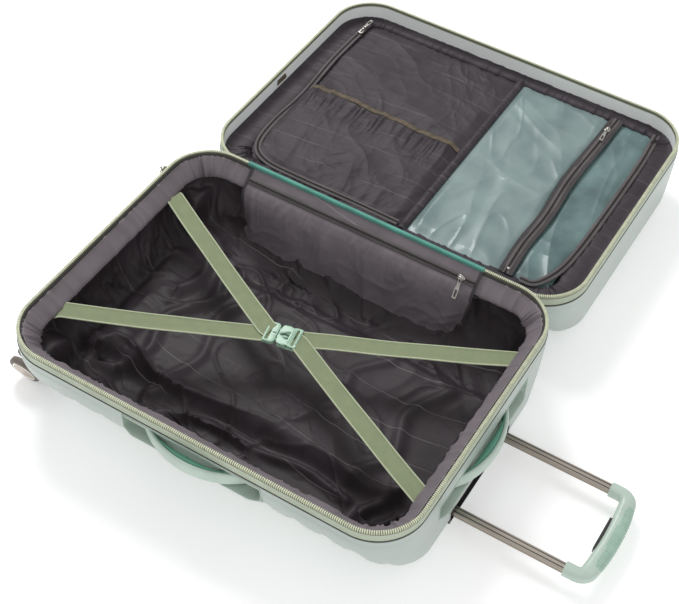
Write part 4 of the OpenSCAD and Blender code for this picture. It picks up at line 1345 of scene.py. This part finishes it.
def handle_bar(name, node, body, face, way_u, way_out):
    """A bowed bar with a softer pad inside it and a coloured lip that shows between it and the tray."""
    way_u, way_out = np.array(way_u, float), np.array(way_out, float)
    half_l, bow = 95, 22
    sag = bow + SHELL_OUT + 11
    radius = (half_l**2 + sag**2) / (2 * sag) - 4
    end = math.asin(min(0.999, (half_l - 2) / radius))
    t = np.linspace(-end, end, 120)

    def swept(name_, half_t, half_v, shift, span, look_, power, ribs=0.0):
        keep = t[np.abs(t) <= end * span]
        rings = []
        for a in keep:
            share = abs(a) / end
            taper = 1 - 0.22 * smooth_step(0.62, 1.0, share)
            o = pill(half_t, half_v * taper, 40, power)
            if ribs:
                o = o * (1 + ribs * math.sin(a * radius * 1.6))
            centre_out = bow - 4 - radius * (1 - math.cos(a)) - shift * math.cos(a)
            centre_u = (radius - shift) * math.sin(a)
            normal_u, normal_o = math.sin(a), math.cos(a)
            along = (centre_u + o[:, :1] * normal_u) * way_u
            outwards = (centre_out + o[:, :1] * normal_o) * way_out
            rings.append(face + along + outwards + o[:, 1:] * UP)
        return loft(name_, rings, look_)

    main_part = swept("main", 3.8, 12, 0, 1.0, GRIP, 2.7)
    pad = swept("pad", 2.0, 8.6, 3.6, 0.78, BAR_IN, 3.2, 0.03)
    lip = []
    for a in np.linspace(-end * 0.66, end * 0.66, 90):
        out = bow - 8 - radius * (1 - math.cos(a))
        reach = max(0.6, min(19.0, out - 2.5))
        upper = [(out - reach * share, rise) for share, rise in ((0, 11.6), (0.3, 11.0), (0.7, 8.0),
                                                                 (1.0, 2.0))]
        section = upper + [(o + 0.8, r - 2.2) for o, r in upper[::-1]]
        lip.append([face + radius * math.sin(a) * way_u + o * way_out + r * UP for o, r in section])
    whole = join(name, [main_part, pad, loft("lip", lip, BAR_IN)])
    whole.data.set_sharp_from_angle(angle=math.radians(40))
    ride(whole, body, "shell", node)


for which, way_u, way_out, windows, plate in (
        ("side_handle", (1, 0, 0), (0, -1, 0), [(-120, -71, 3), (57, 120, 9)], (-66, 52)),
        ("end_handle", (0, 1, 0), (1, 0, 0), [(-136, -62, 8), (62, 136, 8)], (-56, 56))):
    face = tray(which + "_dish", which + "_tray", windows, way_u, way_out, plate)
    handle_bar(which + "_grip", which + "_bar", which, face, way_u, way_out)


# ---------------------------------------------------------------- casters

WHEEL_OFF = 4.5 + 0.4 + 5.5  # from the fork's middle: half its blade, a gap, and half a wheel
TREAD = [(-5.4, 21.6), (-5.4, 25.6), (-4.6, 27.2), (-2.6, 27.9), (0, 28), (2.6, 27.9), (4.6, 27.2),
         (5.4, 25.6), (5.4, 21.6)]
HUB_PARTS = (
    ([(-5.2, 3.2), (-5.2, 21.8), (5.2, 21.8), (5.6, 21.2), (5.6, 20.6)], DARK),
    ([(5.5, 21.0), (6.3, 20.6), (6.7, 19.6), (6.3, 18.4), (5.7, 18.0)], HUB_RING),
    ([(5.4, 18.2), (6.0, 17.2), (6.3, 12.0), (6.6, 6.0), (6.7, 0.02)], HUB),
)


def caster(n):
    """A swivel caster: two wheels on a shaft, on either side of a fork with a turned plate above it."""
    centre = middle("tyres_%d" % n)
    half = BASE if n < 3 else LID
    swivel_y = caster_y(half, -1 if n in (1, 3) else 1)
    lean = math.atan2(centre[1] - swivel_y, WELL_Z - centre[2])
    axle = np.array([0, math.cos(lean), math.sin(lean)])
    rubber, hubs = [], []
    for way in (-axle, axle):
        mid = centre + way * WHEEL_OFF
        rubber.append(revolve("tread", TREAD, mid, way, TYRE, 96))
        hubs += [revolve("hub", profile, mid, way, look_, 72) for profile, look_ in HUB_PARTS]
    hubs.append(revolve("shaft", [(-8, 0.01), (-8, 3), (8, 3), (8, 0.01)], centre, axle, INNER_METAL, 24))
    ride(join("tyre_pair_%d" % n, rubber), "wheel_%d" % n, "tyre", "tyres_%d" % n)
    ride(join("hub_pair_%d" % n, hubs), "wheel_%d" % n, "hub", "hubs_%d" % n)
    disc_x, axle_x = half.x - LINE_L + 29, centre[0]
    to_plane = frame_matrix((0, swivel_y, WELL_Z), (1, 0, 0), (0, -math.sin(lean), math.cos(lean)))
    blade = rounded([(disc_x + 1, 15), (disc_x + 1, -17), (axle_x + 7, -24), (axle_x - 4, -25),
                     (axle_x - 9.5, -17), (axle_x - 9, -9), (axle_x + 2, -4), (disc_x - 12, 10)], 5)
    plate = [(0, 0.02), (0, 15), (1, 17), (3.2, 17), (3.4, 6), (10, 4), (15, 4)]
    parts = [filled("blade", [blade], 8.6, DARK, 1.2, to_plane),
             revolve("plate", plate, (disc_x, swivel_y, WELL_Z), (1, 0, 0), DARK, 64)]
    for way in (-axle, axle):
        parts.append(revolve("boss", [(0, 6.4), (0.4, 6.4), (0.4, 0.02)], centre + way * 4.3, way, DARK, 32))
    ride(join("caster_fork_%d" % n, parts), "caster_%d" % n, "dark_plastic", "fork_%d" % n)


for number in range(1, 5):
    caster(number)


# ---------------------------------------------------------------- painted shade: dark lines in the tubes' grooves

tube_low, tube_high = box_mm("inner_tubes")
TUBE_Y = (tube_high[1] - tube_low[1]) / 2 - 7.75  # from the case's middle to a tube's
# thin dark boxes lie on the tubes' top and bottom faces at their grooves: painted shade, standing for the
# shadow down in the grooves
groove_shade = []
for side in (-1, 1):
    for shift in (-3.41, 3.41):
        y = BASE.y + side * TUBE_Y + shift
        for z in (tube_high[2] - 0.5, tube_low[2] + 0.1):
            groove_shade.append(solid_box((tube_low[0] + 2, y - 0.88, z), (tube_high[0] - 18, y + 0.88, z + 0.4)))
groove_shade = join("tube_groove_painted_shade", groove_shade)
groove_shade.data.materials.clear()
groove_shade.data.materials.append(DARK)
ride(groove_shade, "grip_stage", "dark_plastic")


# ---------------------------------------------------------------- trolley grip


def trolley_grip():
    """The grip: a section swept up one sleeve, round a bend, along the handle and down the other sleeve."""
    low, high = box_mm("trolley_grip")
    sleeve_y, start, inner_x, r = TUBE_Y, low[0], high[0] - 30, 17
    points, half_w = [], []
    for x in np.linspace(start, inner_x - 6, 12, endpoint=False):
        points.append((x, -sleeve_y))
        half_w.append(10.6)
    for a in np.radians(np.linspace(0, 90, 26, endpoint=False)):
        points.append((inner_x - 6 + r * math.sin(a), -sleeve_y + r * (1 - math.cos(a))))
        half_w.append(10.6 + 2.6 * math.sin(a) ** 2)
    turn_y = -sleeve_y + r
    for s in np.linspace(0, 1, 230):
        y = turn_y * (1 - s)
        points.append((inner_x - 6 + r + 5.0 * (1 - (y / turn_y) ** 2), y))
        half_w.append(13.2 + 0.9 * smooth_step(0, 0.4, s))
    points += [(x, -y) for x, y in points[-2::-1]]
    half_w += half_w[-2::-1]
    path, half_w = np.array(points), np.array(half_w)
    kernel = np.ones(9) / 9
    smooth = np.stack([np.convolve(np.pad(path[:, k], 4, "edge"), kernel, "valid") for k in (0, 1)], -1)
    ends = np.ones((len(path), 1))
    ends[:6], ends[-6:] = 0, 0
    path = path * (1 - ends) + smooth * ends
    way = np.gradient(path, axis=0)
    way /= np.linalg.norm(way, axis=1, keepdims=True)
    out = np.c_[way[:, 1], -way[:, 0]]
    steps = way_along(path)
    centre_s = steps[-1] / 2
    a = np.linspace(0, 2 * math.pi, 56, endpoint=False)
    rings = []
    for k in range(len(path)):
        near = 1 - smooth_step(56, 62, abs(steps[k] - centre_s))
        groove = 0.5 + 0.5 * math.cos((steps[k] - centre_s) / 5.2 * 2 * math.pi)
        c, s = np.cos(a), np.sin(a)
        o = np.sign(c) * np.abs(c) ** 0.72 * half_w[k]
        z = np.sign(s) * np.abs(s) ** 0.72 * 10.8
        where = smooth_step(-0.35, 0.1, c) * (1 - smooth_step(0.55, 0.95, -s)) * near
        shrink = 1 - 0.085 * (1 - groove**0.6) * where
        x, y = [path[k, i] + out[k, i] * o * shrink for i in (0, 1)]
        rings.append(np.c_[x, BASE.y + y, TUBE_Z + z * shrink])
    piece = loft("trolley_grip_skin", rings, GRIP)
    piece.data.materials.append(GRIP_RIB)
    for face_ in piece.data.polygons:
        c = face_.center / MM
        near = abs(c.y - BASE.y) < 60
        if near and len(face_.vertices) == 4 and c.x > inner_x + 14 and c.z > TUBE_Z - 7:
            face_.material_index = 1
    ride(piece, "grip_stage", "grip", "trolley_grip")


trolley_grip()


# ---------------------------------------------------------------- camera, light and floor


def aim(thing, forward, up):
    """Turns a light or a camera to look along forward."""
    forward = Vector(forward).normalized()
    right = forward.cross(Vector(up)).normalized()
    turned = Matrix((right, right.cross(forward), -forward)).transposed().to_4x4()
    thing.matrix_world = Matrix.Translation(thing.location) @ turned


def lamp(name, place, forward, power, size):
    """A round area light."""
    data = bpy.data.lights.new(name, "AREA")
    data.energy = power
    data.shape = "DISK"
    data.size = size
    thing = shown(name, data)
    thing.location = place
    aim(thing, forward, (0, 0, 1))


def studio():
    """White paper that glows a little, a key light, a fill light and the camera."""
    world = bpy.data.worlds.new("studio")
    world.use_nodes = True
    world.node_tree.nodes["Background"].inputs["Color"].default_value = (1, 1, 1, 1)
    world.node_tree.nodes["Background"].inputs["Strength"].default_value = 0.66
    scene = bpy.context.scene
    scene.world = world
    lamp("key", (-1.7, 1.3, 2.6), (1.5, -1.35, -2.5), 60, 1.4)
    lamp("fill", (1.6, -1.9, 1.7), (-1.6, 1.8, -1.6), 11, 1.9)
    points = [(x, y, 0) for x in (-6, 6) for y in (-6, 6)]
    floor = make("floor", np.array(points) / MM, [(0, 2, 3, 1)],
                 look("floor_paper", (250, 250, 250), 0.9, spread=0.01, size=2, bump=0.02, specular=0.1))
    floor.location.z = -0.0004
    glow = floor.data.materials[0].node_tree.nodes["Principled BSDF"]
    glow.inputs["Emission Color"].default_value = (1, 1, 1, 1)
    glow.inputs["Emission Strength"].default_value = 0.26
    view = bpy.data.cameras.new("camera")
    view.lens = 73.77
    view.sensor_width = 36
    view.shift_x = -0.0482
    view.shift_y = -0.0019
    view.clip_start = 0.05
    camera = shown("camera", view)
    camera.location = (0.664, -1.382, 1.795)
    aim(camera, (-0.31296, 0.57425, -0.75650), (-0.40935, 0.63717, 0.65302))
    scene.camera = camera
    scene.view_settings.view_transform = "Standard"


studio()
